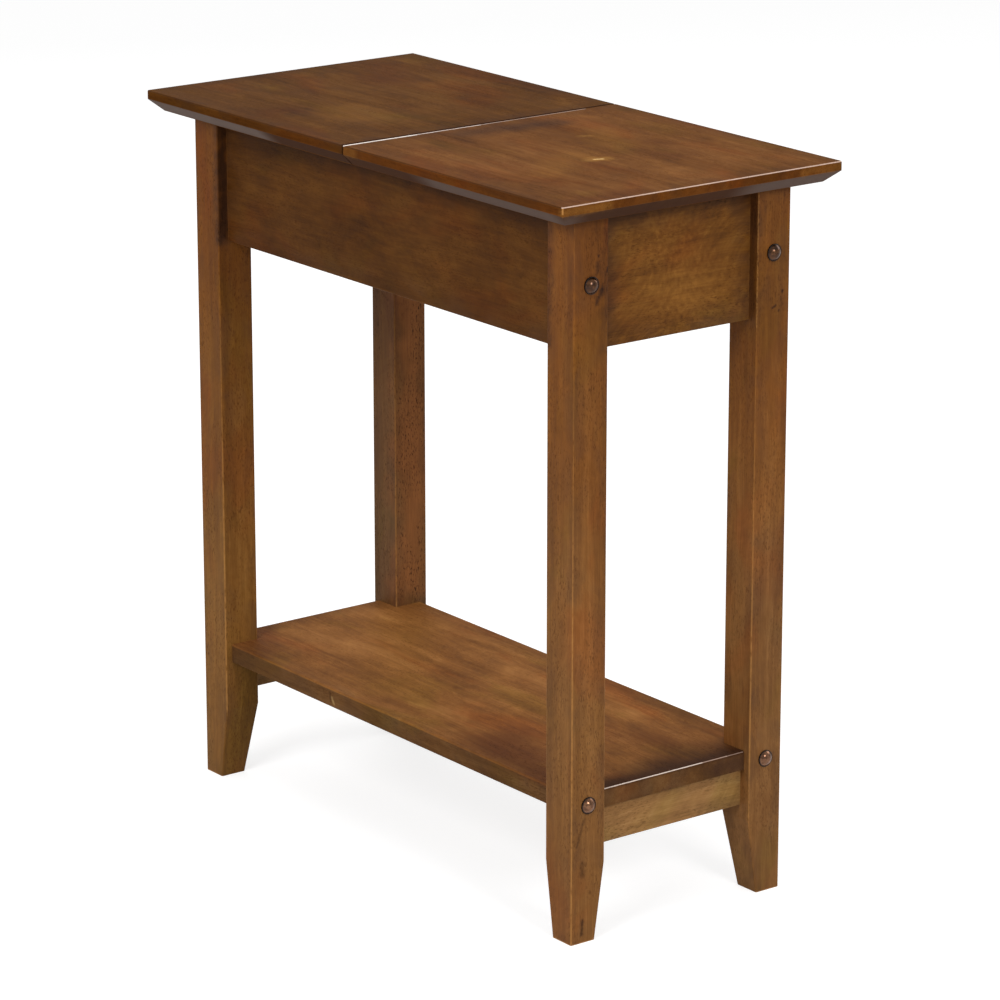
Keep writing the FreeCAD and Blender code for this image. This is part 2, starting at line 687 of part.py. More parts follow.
for side, side_name in SIDES:
    cleat(side_name + "_cleat", side)

group("top_screws", [
    countersunk_screw(
        "Z", 1, "(%s - cleat_width)" % FRAME_TOP, "(cleat_width + screw_bite)", u, v,
        "screw_diameter", "screw_head_diameter",
    )
    for u, v in TOP_SCREW_PLACES
])
group("cleat_screws", [
    countersunk_screw(
        "X", side, signed(side, "(%s - cleat_width)" % INSIDE_X), "(cleat_width + screw_bite)",
        y, CLEAT_MID_Z, "screw_diameter", "screw_head_diameter",
    )
    for side, _ in SIDES for y in CLEAT_SCREW_YS
])

# ---------------------------------------------------------------------------------------------
# Dowels
# ---------------------------------------------------------------------------------------------


def bar_about(axis, middle, length, u, v, diameter):
    """A round bar centred at middle on its axis."""
    return cylinder(axis, *about(middle, length), u, v, "(%s / 2)" % diameter)


group("end_apron_dowels", [
    bar_about("X", signed(side, LEG_IN_X), "dowel_length", signed(end, LEG_MID_Y), z, "dowel_diameter")
    for side, end in CORNERS for z in END_DOWEL_HEIGHTS
])
group("side_apron_dowels", [
    bar_about("Y", signed(end, LEG_IN_Y), "dowel_length", signed(side, LEG_MID_X), z, "dowel_diameter")
    for side, end in CORNERS for z in SIDE_DOWEL_HEIGHTS
])
group("rail_dowels", [
    bar_about(
        "X", signed(side, LEG_IN_X), "small_dowel_length", signed(end, LEG_MID_Y), z,
        "small_dowel_diameter",
    )
    for side, end in CORNERS for z in RAIL_DOWEL_HEIGHTS
])
group("divider_dowels", [
    bar_about(
        "X", signed(side, INSIDE_X), "divider_dowel_length", DIVIDER_MID, z, "small_dowel_diameter"
    )
    for side, _ in SIDES for z in DIVIDER_DOWEL_HEIGHTS
])

# ---------------------------------------------------------------------------------------------
# Domed bolts and barrel nuts
# ---------------------------------------------------------------------------------------------

BOLT_TIP = "(%s - bolt_past_nut)" % NUT_Y
DOME_RADIUS = "((bolt_dome_diameter ^ 2 / 4 + bolt_dome_height ^ 2) / (2 * bolt_dome_height))"
DOME_SETBACK = "(%s - bolt_dome_height)" % DOME_RADIUS


def domed_bolt(side, end, z):
    """A bolt from the leg's end face through the barrel nut, with a rimmed dome for a head."""
    x = signed(side, LEG_MID_X)
    rim_face = signed(end, "(%s + bolt_rim_height)" % LEG_OUT_Y)
    shank = cylinder("Y", *span(end, BOLT_TIP, LEG_OUT_Y), x, z, "(bolt_diameter / 2)")
    rim_y = stretch(signed(end, LEG_OUT_Y), end, "bolt_rim_height")
    rim = cylinder("Y", *rim_y, x, z, "(bolt_rim_diameter / 2)")
    dome = doc.addObject("Part::Sphere", "dome")
    dome.setExpression("Radius", bound(DOME_RADIUS))
    dome.setExpression("Angle1", bound("asin(%s / %s)" % (DOME_SETBACK, DOME_RADIUS)))
    centre = "(%s - %d * %s)" % (rim_face, end, DOME_SETBACK)
    set_place(dome, "Y", centre, x, z, turned_along("Y", end))
    return joined("bolt", shank, rim, dome)


def barrel_nut(side, end, z, axis):
    """A steel cross dowel with its bolt hole through the middle."""
    x, y = signed(side, LEG_MID_X), signed(end, NUT_Y)
    middle, u, v = (x, y, z) if axis == "X" else (z, x, y)
    hole_y = about(y, "(2 * nut_diameter)")
    nut = doc.addObject("Part::Cut", "barrel_nut")
    nut.Base = bar_about(axis, middle, "nut_length", u, v, "nut_diameter")
    nut.Tool = cylinder("Y", *hole_y, x, z, "(bolt_diameter / 2 + nut_clearance)")
    return nut


group("apron_bolts", [domed_bolt(side, end, APRON_MID) for side, end in CORNERS])
group("shelf_bolts", [domed_bolt(side, end, SHELF_MID) for side, end in CORNERS])
group("apron_barrel_nuts", [barrel_nut(side, end, APRON_MID, "X") for side, end in CORNERS])
group("shelf_barrel_nuts", [barrel_nut(side, end, SHELF_MID, "Z") for side, end in CORNERS])

# ---------------------------------------------------------------------------------------------
# Concealed hinges. The pivot line is where the top's surface meets the split. Each hinge has two
# equal leaves let into the butting edges, and a curved link, concentric with the pivot line, that
# slides in a curved slot in both. Lugs on the link's ends stop behind the leaves' front plates.
# Each piece is built about its own origin on the pivot line, with X along the hinge.
# ---------------------------------------------------------------------------------------------

X_AXIS = FreeCAD.Vector(1, 0, 0)


def revolve(body, kind, x_low, x_high, inner, outer, angle, midplane):
    """A ring sector below the pivot line, added or cut, of the given radii and angle."""
    sketch = new_sketch(body, "XZ", "0")
    draw_rectangle(sketch, x_low, x_high, negative(outer), negative(inner))
    doc.recompute()
    cut = kind == "Groove"
    before = body.Shape.Volume if cut else 0.0
    feature = body.newObject("PartDesign::" + kind, "%s_%s" % (body.Name, kind.lower()))
    feature.Profile = sketch
    feature.ReferenceAxis = (sketch, ["H_Axis"])
    feature.setExpression("Angle", bound(angle))
    feature.Midplane = midplane
    doc.recompute()
    if cut and not body.Shape.Volume < before:
        raise RuntimeError("a groove in %s cuts nothing" % body.Label)


def hinge_leaf(label, side, turned):
    """A front plate with round ends, and behind it the housing whose curved slot holds the link."""
    body = new_body(label)
    front = "(split_gap / 2)"
    plate_back = "(%s + leaf_plate_thickness)" % front
    top, bottom = "(-1 * leaf_cover)", "(-1 * (leaf_cover + leaf_height))"
    middle = "(-1 * (leaf_cover + leaf_height / 2))"
    half_body = "(%s / 2)" % LEAF_BODY_WIDTH
    half_chamber = "(link_width / 2 + link_lug_width + slot_clearance)"
    half_mouth = "(link_width / 2 + slot_clearance)"
    window_top = negative("sqrt(%s ^ 2 - %s ^ 2)" % (SLOT_INNER, plate_back))
    extrude(
        body, "XZ", plate_back, "leaf_depth",
        lambda s: draw_rectangle(s, negative(half_body), half_body, bottom, top),
    )
    revolve(
        body, "Groove", negative(half_chamber), half_chamber, SLOT_INNER, SLOT_OUTER,
        "(link_half_span + slot_end_angle)", False,
    )

    def draw_plate(sketch):
        draw_stadium(sketch, "0", middle, "leaf_length", "leaf_height", "0")
        draw_rectangle(sketch, negative(half_mouth), half_mouth, negative(SLOT_OUTER), window_top)
        for end in (-1, 1):
            draw_circle(sketch, "(%d * hinge_screw_offset)" % end, middle, HINGE_SCREW_HOLE)

    extrude(body, "XZ", front, plate_back, draw_plate)
    face = number(front)

    def is_screw_rim(edge):
        return edge.isClosed() and near(edge.BoundBox.Center.y, face)

    sink = "(hinge_screw_head_diameter / 2 - hinge_screw_diameter / 2)"
    soften(body, is_screw_rim, sink, kind="Chamfer")
    place_on_pivot(body, side, 180 if turned else 0)


def place_on_pivot(body, side, turn):
    body.Placement = FreeCAD.Placement(
        FreeCAD.Vector(), FreeCAD.Rotation(FreeCAD.Vector(0, 0, 1), turn)
    )
    body.setExpression("Placement.Base.x", bound(signed(side, HINGE_MID_X)))
    body.setExpression("Placement.Base.y", bound(SPLIT))
    body.setExpression("Placement.Base.z", bound("table_height"))


def hinge_link(label, side):
    """A curved plate with a lug at each corner, made as a wide arc whose flanks are cut back."""
    body = new_body(label)
    inner = "(link_radius - link_thickness / 2)"
    outer = "(link_radius + link_thickness / 2)"
    half_lug = "(link_width / 2 + link_lug_width)"
    half_link = "(link_width / 2)"
    revolve(body, "Revolution", negative(half_lug), half_lug, inner, outer, "(2 * link_half_span)", True)
    waist = "(2 * (link_half_span - link_lug_angle))"
    margin = "slot_clearance"
    low, high = "(%s - %s)" % (inner, margin), "(%s + %s)" % (outer, margin)
    for x_low, x_high in (
        (half_link, "(%s + %s)" % (half_lug, margin)),
        (negative("(%s + %s)" % (half_lug, margin)), negative(half_link)),
    ):
        revolve(body, "Groove", x_low, x_high, low, high, waist, True)
    place_on_pivot(body, side, 0)


for side, side_name in SIDES:
    hinge_leaf("%s_hinge_fixed_leaf" % side_name, side, False)
    hinge_leaf("%s_hinge_lid_leaf" % side_name, side, True)
    hinge_link("%s_hinge_link" % side_name, side)

for label, edge, sign in (("fixed_leaf_screws", FIXED_EDGE, 1), ("lid_leaf_screws", LID_EDGE, -1)):
    group(label, [
        countersunk_screw(
            "Y", sign, edge, "hinge_screw_length",
            "(%s + %d * hinge_screw_offset)" % (signed(side, HINGE_MID_X), end), LEAF_MID,
            "hinge_screw_diameter", "hinge_screw_head_diameter",
        )
        for side, _ in SIDES for end in (-1, 1)
    ])

# ---------------------------------------------------------------------------------------------
# Bumpers in the front legs' tops, which the lid lies on
# ---------------------------------------------------------------------------------------------

group("lid_bumpers", [
    cylinder(
        "Z", BUMPER_SEAT, LID_UNDERSIDE, signed(side, LEG_MID_X), negative(LEG_MID_Y),
        "(bumper_diameter / 2)",
    )
    for side, _ in SIDES
])

# ---------------------------------------------------------------------------------------------
# Checks and files
# ---------------------------------------------------------------------------------------------

NODES = [
    thing for thing in doc.Objects
    if thing.TypeId in ("PartDesign::Body", "Part::Compound")
]

doc.recompute()
for thing in doc.Objects:
    if "Invalid" in thing.State or "Error" in thing.State:
        raise RuntimeError("%s failed: %s" % (thing.Label, thing.State))
for node in NODES:
    if node.Shape.isNull() or not node.Shape.isValid():
        raise RuntimeError("%s has no valid shape" % node.Label)

os.makedirs("parts", exist_ok=True)
for node in NODES:
    node.Shape.exportStep("parts/%s.step" % node.Label)
print("%d nodes, %d solids" % (len(NODES), sum(len(node.Shape.Solids) for node in NODES)))
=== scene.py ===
import math

import bmesh
import bpy
from mathutils import Matrix, Vector


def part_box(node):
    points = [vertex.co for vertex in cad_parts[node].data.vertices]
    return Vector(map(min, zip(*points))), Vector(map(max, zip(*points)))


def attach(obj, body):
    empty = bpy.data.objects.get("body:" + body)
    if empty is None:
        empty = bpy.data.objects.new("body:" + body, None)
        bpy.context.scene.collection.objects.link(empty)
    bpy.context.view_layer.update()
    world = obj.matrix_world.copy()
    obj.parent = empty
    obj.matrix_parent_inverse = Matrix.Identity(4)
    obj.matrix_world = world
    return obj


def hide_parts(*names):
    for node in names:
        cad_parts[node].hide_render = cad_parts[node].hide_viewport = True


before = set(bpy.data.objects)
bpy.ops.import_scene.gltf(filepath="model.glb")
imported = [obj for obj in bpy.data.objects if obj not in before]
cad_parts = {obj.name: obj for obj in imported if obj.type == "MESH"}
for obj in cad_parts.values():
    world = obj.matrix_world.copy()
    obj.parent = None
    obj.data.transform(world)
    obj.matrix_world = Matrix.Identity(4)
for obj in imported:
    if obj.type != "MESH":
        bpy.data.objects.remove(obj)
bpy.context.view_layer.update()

# A narrow lift top end table in stained wood. Lengths are in metres, X is the table's width, Y its
# depth with the lift lid at the -Y end, and Z is up.

# ---------------------------------------------------------------------------------------------
# Measures
# ---------------------------------------------------------------------------------------------

# The top, with its vertical edge face and the bevel under that
TOP = 0.61
EDGE_FACE_HEAD = TOP - 0.0011
EDGE_FACE_FOOT = 0.6025
BEVEL_FOOT = 0.5928
HALF_WIDTH = 0.1395
LID_END = -0.286
LID_SPLIT = -0.00065
# Points on the top's edge face, bevels and upper arrises
EDGE_Z = 0.6055
BEVEL_X, BEVEL_Y, BEVEL_Z = -0.1343, -0.2810, 0.5975
ARRIS_X, ARRIS_Y, ARRIS_Z = -0.1389, -0.2855, 0.6094
# The legs, the aprons between them and the bolts
LEG_FACE = -0.261
LEG_INNER_X = 0.075
LEG_INNER_Y = 0.2275
APRON_FOOT = 0.484
APRON_HEAD = 0.5925
APRON_FACE_X = 0.09875
APRON_FACE_Y = 0.25125
BOLT_X = 0.09175
APRON_BOLT_Z = 0.53825
SHELF_BOLT_Z = 0.1155
BOLT_HEAD_RADIUS = 0.007
# The shelf, and the rounded arris along its front
SHELF_TOP = 0.1235
SHELF_EDGE_HEAD = SHELF_TOP - 0.0014
SHELF_END = -0.2545
SHELF_SIDE = -0.102
SHELF_ARRIS_Y, SHELF_ARRIS_Z = -0.2538, 0.1228

# ---------------------------------------------------------------------------------------------
# Finishes
# ---------------------------------------------------------------------------------------------


def stain(red, green, blue):
    """A linear colour from the 0 to 255 values that a colour chart gives."""
    def linear(value):
        share = value / 255
        return share / 12.92 if share <= 0.04045 else ((share + 0.055) / 1.055) ** 2.4
    return (linear(red), linear(green), linear(blue), 1)


LID_STAIN = stain(114, 71, 34)
FIXED_TOP_STAIN = stain(97, 60, 24)
SHELF_STAIN = stain(138, 89, 44)
LEG_STAIN = stain(123, 72, 24)
REAR_LEG_STAIN = stain(116, 67, 18)
# The rear right leg's stain is darkened as painted shade
PAINTED_SHADE_LEG_STAIN = stain(96, 57, 20)
PAINTED_LIGHT_FACE = stain(142, 88, 46)
SIDE_APRON_STAIN = stain(85, 50, 16)
END_APRON_STAIN = stain(109, 67, 22)
RAIL_STAIN = stain(158, 115, 68)
BOX_STAIN = stain(138, 98, 62)
PANEL_STAIN = stain(158, 120, 82)
DOWEL_STAIN = stain(206, 178, 138)
SMOKE_TONER = stain(66, 44, 34)
ARRIS_WEAR_AND_HIGHLIGHT = stain(172, 122, 66)
UNDER_BEVEL = stain(72, 50, 40)
GREY_BLOOM = stain(122, 106, 98)
RED_SHADE = stain(88, 46, 24)
DARK_SHADE = stain(58, 34, 20)
GOLDEN_PATCH = stain(146, 98, 44)
KNOT_AND_PAINTED_SHADE = stain(46, 24, 12)
PAINTED_KNOT_GLINT = stain(236, 198, 132)
PAINTED_KNOT_SHEEN = stain(176, 126, 62)
PAINTED_HIGHLIGHT = stain(206, 176, 158)
PAINTED_BRIGHT_HIGHLIGHT = stain(240, 222, 208)

# What a stain is multiplied by where the wood takes it differently
DARK_GRAIN = (0.46, 0.42, 0.42, 1)
LIGHT_GRAIN = (1.62, 1.80, 2.1, 1)
REDDER = (1.04, 0.82, 0.72, 1)
MORE_OLIVE = (0.90, 1.02, 0.78, 1)
PALER_AND_GREYER = (1.20, 1.56, 2.90, 1)

# ---------------------------------------------------------------------------------------------
# Node building
# ---------------------------------------------------------------------------------------------


class Graph:
    """A node tree being built, with one short call for each kind of node."""

    def __init__(self, tree):
        self.tree = tree

    def node(self, kind, **settings):
        made = self.tree.nodes.new(kind)
        for name, value in settings.items():
            setattr(made, name, value)
        return made

    def put(self, socket, value):
        """Links an output to the socket, or sets the socket to a plain value."""
        if isinstance(value, bpy.types.NodeSocket):
            self.tree.links.new(value, socket)
        else:
            socket.default_value = value

    def math(self, operation, *values, clamp=False):
        made = self.node("ShaderNodeMath", operation=operation, use_clamp=clamp)
        for socket, value in zip(made.inputs, values):
            self.put(socket, value)
        return made.outputs[0]

    def total(self, *values):
        """The sum of the values."""
        result = values[0]
        for value in values[1:]:
            result = self.math("ADD", result, value)
        return result

    def product(self, *values):
        """The product of the values."""
        result = values[0]
        for value in values[1:]:
            result = self.math("MULTIPLY", result, value)
        return result

    def vector(self, operation, *values):
        made = self.node("ShaderNodeVectorMath", operation=operation)
        for socket, value in zip(made.inputs, values):
            self.put(socket, value)
        return made.outputs[1 if operation in ("LENGTH", "DOT_PRODUCT") else 0]

    def swing(self, value, amount):
        """How far the value is from one half, times the amount."""
        return self.math("MULTIPLY", self.math("SUBTRACT", value, 0.5), amount)

    def coordinates(self):
        """The piece's own coordinates, in metres."""
        return self.node("ShaderNodeTexCoord").outputs["Object"]

    def scaled(self, place, amount):
        """The place times a single number."""
        made = self.node("ShaderNodeVectorMath", operation="SCALE")
        self.put(made.inputs[0], place)
        self.put(made.inputs["Scale"], amount)
        return made.outputs[0]

    def along(self, place, axis):
        """One coordinate of the place."""
        parts = self.node("ShaderNodeSeparateXYZ")
        self.put(parts.inputs[0], place)
        return parts.outputs["XYZ".index(axis)]

    def remap(self, value, low, high, to_low=0.0, to_high=1.0):
        made = self.node("ShaderNodeMapRange", interpolation_type="SMOOTHSTEP")
        for socket, given in zip(made.inputs, (value, low, high, to_low, to_high)):
            self.put(socket, given)
        return made.outputs[0]

    def blend(self, share, first, second, kind="MIX"):
        made = self.node("ShaderNodeMix", data_type="RGBA", blend_type=kind)
        self.put(made.inputs[0], share)
        self.put(made.inputs[6], first)
        self.put(made.inputs[7], second)
        return made.outputs[2]

    def noise(self, place, stretch, detail=2.0, roughness=0.5, distortion=0.0, output=0):
        """Smooth noise whose features are 1 / stretch metres long along each axis."""
        made = self.node("ShaderNodeTexNoise")
        self.put(made.inputs["Vector"], self.vector("MULTIPLY", place, stretch))
        made.inputs["Scale"].default_value = 1.0
        made.inputs["Detail"].default_value = detail
        made.inputs["Roughness"].default_value = roughness
        made.inputs["Distortion"].default_value = distortion
        return made.outputs[output]

    def bump(self, height, distance, strength):
        made = self.node("ShaderNodeBump")
        made.inputs["Strength"].default_value = strength
        made.inputs["Distance"].default_value = distance
        self.put(made.inputs["Height"], height)
        return made.outputs[0]


def new_material(name):
    """A material with only its shader and output, and the graph to build the rest in."""
    material = bpy.data.materials.new(name)
    material.use_nodes = True
    material.node_tree.nodes.clear()
    graph = Graph(material.node_tree)
    shader = graph.node("ShaderNodeBsdfPrincipled")
    output = graph.node("ShaderNodeOutputMaterial")
    graph.put(output.inputs[0], shader.outputs[0])
    return material, graph, shader


def new_group(name, inputs, outputs):
    """A node group with the given sockets, and the graph and ends to build it with."""
    tree = bpy.data.node_groups.new(name, "ShaderNodeTree")
    for title, kind in inputs:
        tree.interface.new_socket(title, in_out="INPUT", socket_type="NodeSocket" + kind)
    for title, kind in outputs:
        tree.interface.new_socket(title, in_out="OUTPUT", socket_type="NodeSocket" + kind)
    graph = Graph(tree)
    return tree, graph, graph.node("NodeGroupInput").outputs, graph.node("NodeGroupOutput").inputs


def paint(piece, material):
    """Gives the piece the material in every slot."""
    if not piece.material_slots:
        piece.data.materials.append(material)
    for material_slot in piece.material_slots:
        material_slot.material = material


# ---------------------------------------------------------------------------------------------
# Stained wood
# ---------------------------------------------------------------------------------------------


def make_arris_group():
    """How far a point on a board's surface is from the nearest arris of the board."""
    tree, graph, given, made = new_group(
        "arris_distance",
        [("Place", "Vector"), ("Middle", "Vector"), ("Half size", "Vector")],
        [("Distance", "Float")],
    )
    offset = graph.vector("ABSOLUTE", graph.vector("SUBTRACT", given["Place"], given["Middle"]))
    inward = graph.vector("ABSOLUTE", graph.vector("SUBTRACT", given["Half size"], offset))
    x, y, z = (graph.along(inward, axis) for axis in "XYZ")
    low, high = graph.math("MINIMUM", x, y), graph.math("MAXIMUM", x, y)
    graph.put(made["Distance"], graph.math("MAXIMUM", low, graph.math("MINIMUM", high, z)))
    return tree


def wandering(graph, place):
    """The place, moved so that the grain wanders slightly across its run."""
    wander = graph.noise(place, (5, 14, 14))
    drift = graph.node("ShaderNodeCombineXYZ")
    graph.put(drift.inputs[1], graph.swing(wander, 0.03))
    graph.put(drift.inputs[2], graph.swing(wander, 0.02))
    return graph.vector("ADD", place, drift.outputs[0])


def flame_figure(graph, place):
    """Figure that swirls at a slant to the grain."""
    swirl = graph.noise(place, (9, 9, 9), 1.0, output=1)
    swirl = graph.scaled(graph.vector("SUBTRACT", swirl, (0.5, 0.5, 0.5)), 0.09)
    slant = graph.node("ShaderNodeMapping")
    slant.inputs["Rotation"].default_value = (0, math.radians(40), math.radians(32))
    graph.put(slant.inputs["Vector"], graph.vector("ADD", place, swirl))
    return graph.noise(slant.outputs[0], (30, 200, 200), 3.0, 0.55)


def tick_marks(graph, place, run):
    """Short dark ticks along the grain, more in some patches than others."""
    dashes = graph.noise(run, (300, 950, 950), 2.0, 0.5)
    patch = graph.remap(graph.noise(place, (16, 50, 50)), 0.35, 0.58)
    return graph.product(graph.remap(dashes, 0.53, 0.68), patch)


def grain_color(graph, place, tone, stain_color, ticks):
    """The stain, darker and paler with the grain, and redder or more olive in patches."""
    dark = graph.blend(1.0, stain_color, DARK_GRAIN, "MULTIPLY")
    light = graph.blend(1.0, stain_color, LIGHT_GRAIN, "MULTIPLY")
    color = graph.blend(graph.math("MULTIPLY", tone, 2.0, clamp=True), dark, stain_color)
    upper = graph.math("SUBTRACT", graph.math("MULTIPLY", tone, 2.0), 1.0, clamp=True)
    color = graph.blend(upper, color, light)
    hue = graph.noise(place, (8, 15, 15), 3.0, 0.55, 0.5)
    color = graph.blend(graph.remap(hue, 0.52, 0.68, 0.0, 0.7), color, REDDER, "MULTIPLY")
    color = graph.blend(graph.remap(hue, 0.48, 0.32, 0.0, 0.7), color, MORE_OLIVE, "MULTIPLY")
    return graph.blend(ticks, color, dark)


def worn_share(graph, place, arris, fade, wear):
    """How far the stain is rubbed off along the arrises, more so on the feet."""
    rub = graph.noise(place, (120, 260, 260), 3.0, 0.6)
    ragged = graph.total(arris, graph.swing(rub, 0.0016))
    reach = graph.total(0.0009, graph.product(fade, 0.0006))
    worn = graph.remap(ragged, reach, 0.0002)
    handled = graph.total(0.2, graph.product(fade, 0.8))
    return graph.product(worn, graph.remap(rub, 0.3, 0.55), wear, handled)


def make_wood_group():
    """Stained and lacquered wood, with its grain along X of the place that it is given."""
    tree, graph, given, made = new_group(
        "stained_wood",
        [
            ("Place", "Vector"), ("Stain", "Color"), ("Arris", "Float"), ("Fade", "Float"),
            ("Figure", "Float"), ("Mottle", "Float"), ("Ticks", "Float"), ("Toner", "Float"),
            ("Wear", "Float"), ("Dullness", "Float"),
        ],
        [("Color", "Color"), ("Roughness", "Float"), ("Height", "Float")],
    )
    place, arris, fade = given["Place"], given["Arris"], given["Fade"]
    run = wandering(graph, place)
    bands = graph.noise(run, (2.2, 48, 48), 3.0, 0.55)
    streaks = graph.noise(run, (9, 230, 230), 3.0, 0.6)
    fibres = graph.noise(run, (34, 900, 900), 3.0, 0.65)
    clouds = graph.noise(place, (9, 17, 17), 3.0, 0.5, 0.4)
    smoke = graph.noise(place, (20, 42, 42), 4.0, 0.55, 0.8)
    ticks = graph.product(tick_marks(graph, place, run), given["Ticks"])
    mottle = graph.total(graph.swing(clouds, 1.3), graph.swing(smoke, 1.1))
    tone = graph.total(
        0.5, graph.swing(bands, 0.7), graph.swing(streaks, 0.55), graph.swing(fibres, 0.6),
        graph.product(mottle, given["Mottle"]),
        graph.product(graph.swing(flame_figure(graph, place), 1.6), given["Figure"]),
    )
    color = grain_color(graph, place, tone, given["Stain"], ticks)
    # Feet are handled more, so their stain fades
    color = graph.blend(fade, color, PALER_AND_GREYER, "MULTIPLY")
    # The smoky toner gathers towards the arrises, and wears off along them
    toner_band = graph.product(graph.remap(arris, 0.026, 0.0), graph.remap(smoke, 0.38, 0.66))
    color = graph.blend(graph.product(toner_band, given["Toner"]), color, SMOKE_TONER)
    worn = worn_share(graph, place, arris, fade, given["Wear"])
    graph.put(made["Color"], graph.blend(worn, color, ARRIS_WEAR_AND_HIGHLIGHT))
    graph.put(made["Roughness"], graph.total(
        given["Dullness"], graph.swing(fibres, 0.2), graph.swing(smoke, 0.16),
        graph.product(ticks, 0.2), graph.product(worn, -0.12),
    ))
    graph.put(made["Height"], graph.total(
        graph.product(fibres, 0.5), graph.product(streaks, 0.3), graph.product(ticks, -0.8),
    ))
    return tree


ARRIS_GROUP = make_arris_group()
WOOD_GROUP = make_wood_group()
GRAIN_TURN = {"X": (0, 0, 0), "Y": (0, 0, -90), "Z": (0, 90, 0)}
SEED_STEP = (0.731, 0.417, 0.293)
BAND_HEAD_BLUR = 0.0003
BAND_FOOT_BLUR = 0.0005
GRAIN_FLOOR = 0.42
GRAIN_GAIN = 1.45
GRAIN_RELIEF = 0.00012
LACQUER_ROUGHNESS = 0.15
# How a mark is drawn: a higher flatness keeps it to one level, and a higher crispness sharpens it
PATCH_SHAPE = {"flatness": 12, "raggedness": 0.7}
BLOOM_SHAPE = {"raggedness": 0.4}
LINE_SHAPE = {"flatness": 4, "crispness": 0.4, "raggedness": 0.4}


def between(graph, coordinates, low, high, strength=1.0):
    """The strength where a point's height is between the two, and 0 elsewhere."""
    level = graph.along(coordinates, "Z")
    under = graph.remap(level, high + BAND_HEAD_BLUR, high - BAND_HEAD_BLUR, 0.0, strength)
    return graph.product(under, graph.remap(level, low, low + BAND_FOOT_BLUR))


def mark_share(graph, coordinates, mark, flatness=1, crispness=0.0, raggedness=1.2):
    """How strongly a mark from one point to another covers a point of the surface."""
    start, end, radius, strength = mark[:4]
    run = Vector(end) - Vector(start)
    offset = graph.vector("SUBTRACT", coordinates, start)
    if run.length > 0:
        reach = graph.math("DIVIDE", graph.vector("DOT_PRODUCT", offset, run), run.length_squared)
        passed = graph.scaled(run, graph.math("ADD", reach, 0.0, clamp=True))
        offset = graph.vector("SUBTRACT", offset, passed)
    gap = graph.vector("LENGTH", graph.vector("MULTIPLY", offset, (1, 1, flatness)))
    fineness = 1.2 / radius
    ragged = graph.swing(graph.noise(coordinates, (fineness, fineness, fineness)), radius * raggedness)
    return graph.remap(graph.total(gap, ragged), radius, radius * crispness, 0.0, strength)


def board_wood(graph, coordinates, node, grain, seed, amounts, fade):
    """A board's own wood, with its grain turned to the board's run and shifted by its seed."""
    low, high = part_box(node)
    turn = graph.node("ShaderNodeMapping")
    turn.inputs["Rotation"].default_value = [math.radians(angle) for angle in GRAIN_TURN[grain]]
    turn.inputs["Location"].default_value = [seed * step for step in SEED_STEP]
    graph.put(turn.inputs["Vector"], coordinates)
    arris = graph.node("ShaderNodeGroup", node_tree=ARRIS_GROUP)
    graph.put(arris.inputs["Place"], coordinates)
    arris.inputs["Middle"].default_value = (low + high) / 2
    arris.inputs["Half size"].default_value = (high - low) / 2
    wood = graph.node("ShaderNodeGroup", node_tree=WOOD_GROUP)
    graph.put(wood.inputs["Place"], turn.outputs[0])
    graph.put(wood.inputs["Arris"], arris.outputs[0])
    for title, amount in amounts.items():
        wood.inputs[title].default_value = amount
    if fade:
        graph.put(wood.inputs["Fade"], graph.remap(graph.along(coordinates, "Z"), *fade))
    return wood


def laid_over(graph, coordinates, color, marks, shape, tone=None):
    """The colour with the marks laid over it, and the grain's tone in them where one is given."""
    for mark in marks:
        share = mark_share(graph, coordinates, mark, **shape)
        laid = mark[-1] if tone is None else graph.scaled(mark[-1][:3], tone)
        color = graph.blend(share, color, laid)
    return color


def stained_board(node, grain, stain_color, seed, figure=0.2, mottle=0.7, ticks=0.4, toner=0.4,
                  wear=0.3, fade=None, bands=(), blooms=(), patches=(), streaks=(), seams=(),
                  lines=(), dullness=0.56, specular=0.1):
    """Paints a board with its own stained wood, its tinted bands and the marks that lie over them."""
    material, graph, shader = new_material(node + "_wood")
    coordinates = graph.coordinates()
    wood = board_wood(graph, coordinates, node, grain, seed, {
        "Stain": stain_color, "Figure": figure, "Mottle": mottle, "Ticks": ticks, "Toner": toner,
        "Wear": wear, "Dullness": dullness,
    }, fade)
    color = wood.outputs["Color"]
    for low, high, tint, strength, kind in bands:
        color = graph.blend(between(graph, coordinates, low, high, strength), color, tint, kind)
    # Blooms keep to the bevel
    for bloom in blooms:
        share = mark_share(graph, coordinates, bloom, **BLOOM_SHAPE)
        share = graph.product(share, between(graph, coordinates, BEVEL_FOOT, EDGE_FACE_FOOT))
        color = graph.blend(share, color, bloom[-1])
    tone = graph.total(GRAIN_FLOOR, graph.product(wood.outputs["Height"], GRAIN_GAIN))
    color = laid_over(graph, coordinates, color, patches, PATCH_SHAPE, tone)
    color = laid_over(graph, coordinates, color, streaks, {}, tone)
    color = laid_over(graph, coordinates, color, seams, LINE_SHAPE)
    # Lines are painted highlights on the arrises, with a glossy coat over them
    highlight_coat = 0.0
    for line in lines:
        share = mark_share(graph, coordinates, line, **LINE_SHAPE)
        color = graph.blend(share, color, line[-1])
        highlight_coat = graph.math("MAXIMUM", highlight_coat, share)
    graph.put(shader.inputs["Coat Weight"], highlight_coat)
    shader.inputs["Coat Roughness"].default_value = LACQUER_ROUGHNESS
    graph.put(shader.inputs["Base Color"], color)
    graph.put(shader.inputs["Roughness"], wood.outputs["Roughness"])
    graph.put(shader.inputs["Normal"], graph.bump(wood.outputs["Height"], GRAIN_RELIEF, 0.6))
    shader.inputs["Specular IOR Level"].default_value = specular
    paint(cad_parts[node], material)


# ---------------------------------------------------------------------------------------------
# What lies over the stain, painted shade and highlights among it. A mark is its start, its end, its
# radius, its strength and its colour.
# ---------------------------------------------------------------------------------------------


def upright(x, y, low, high, radius, strength, color):
    """A mark that runs straight up."""
    return ((x, y, low), (x, y, high), radius, strength, color)


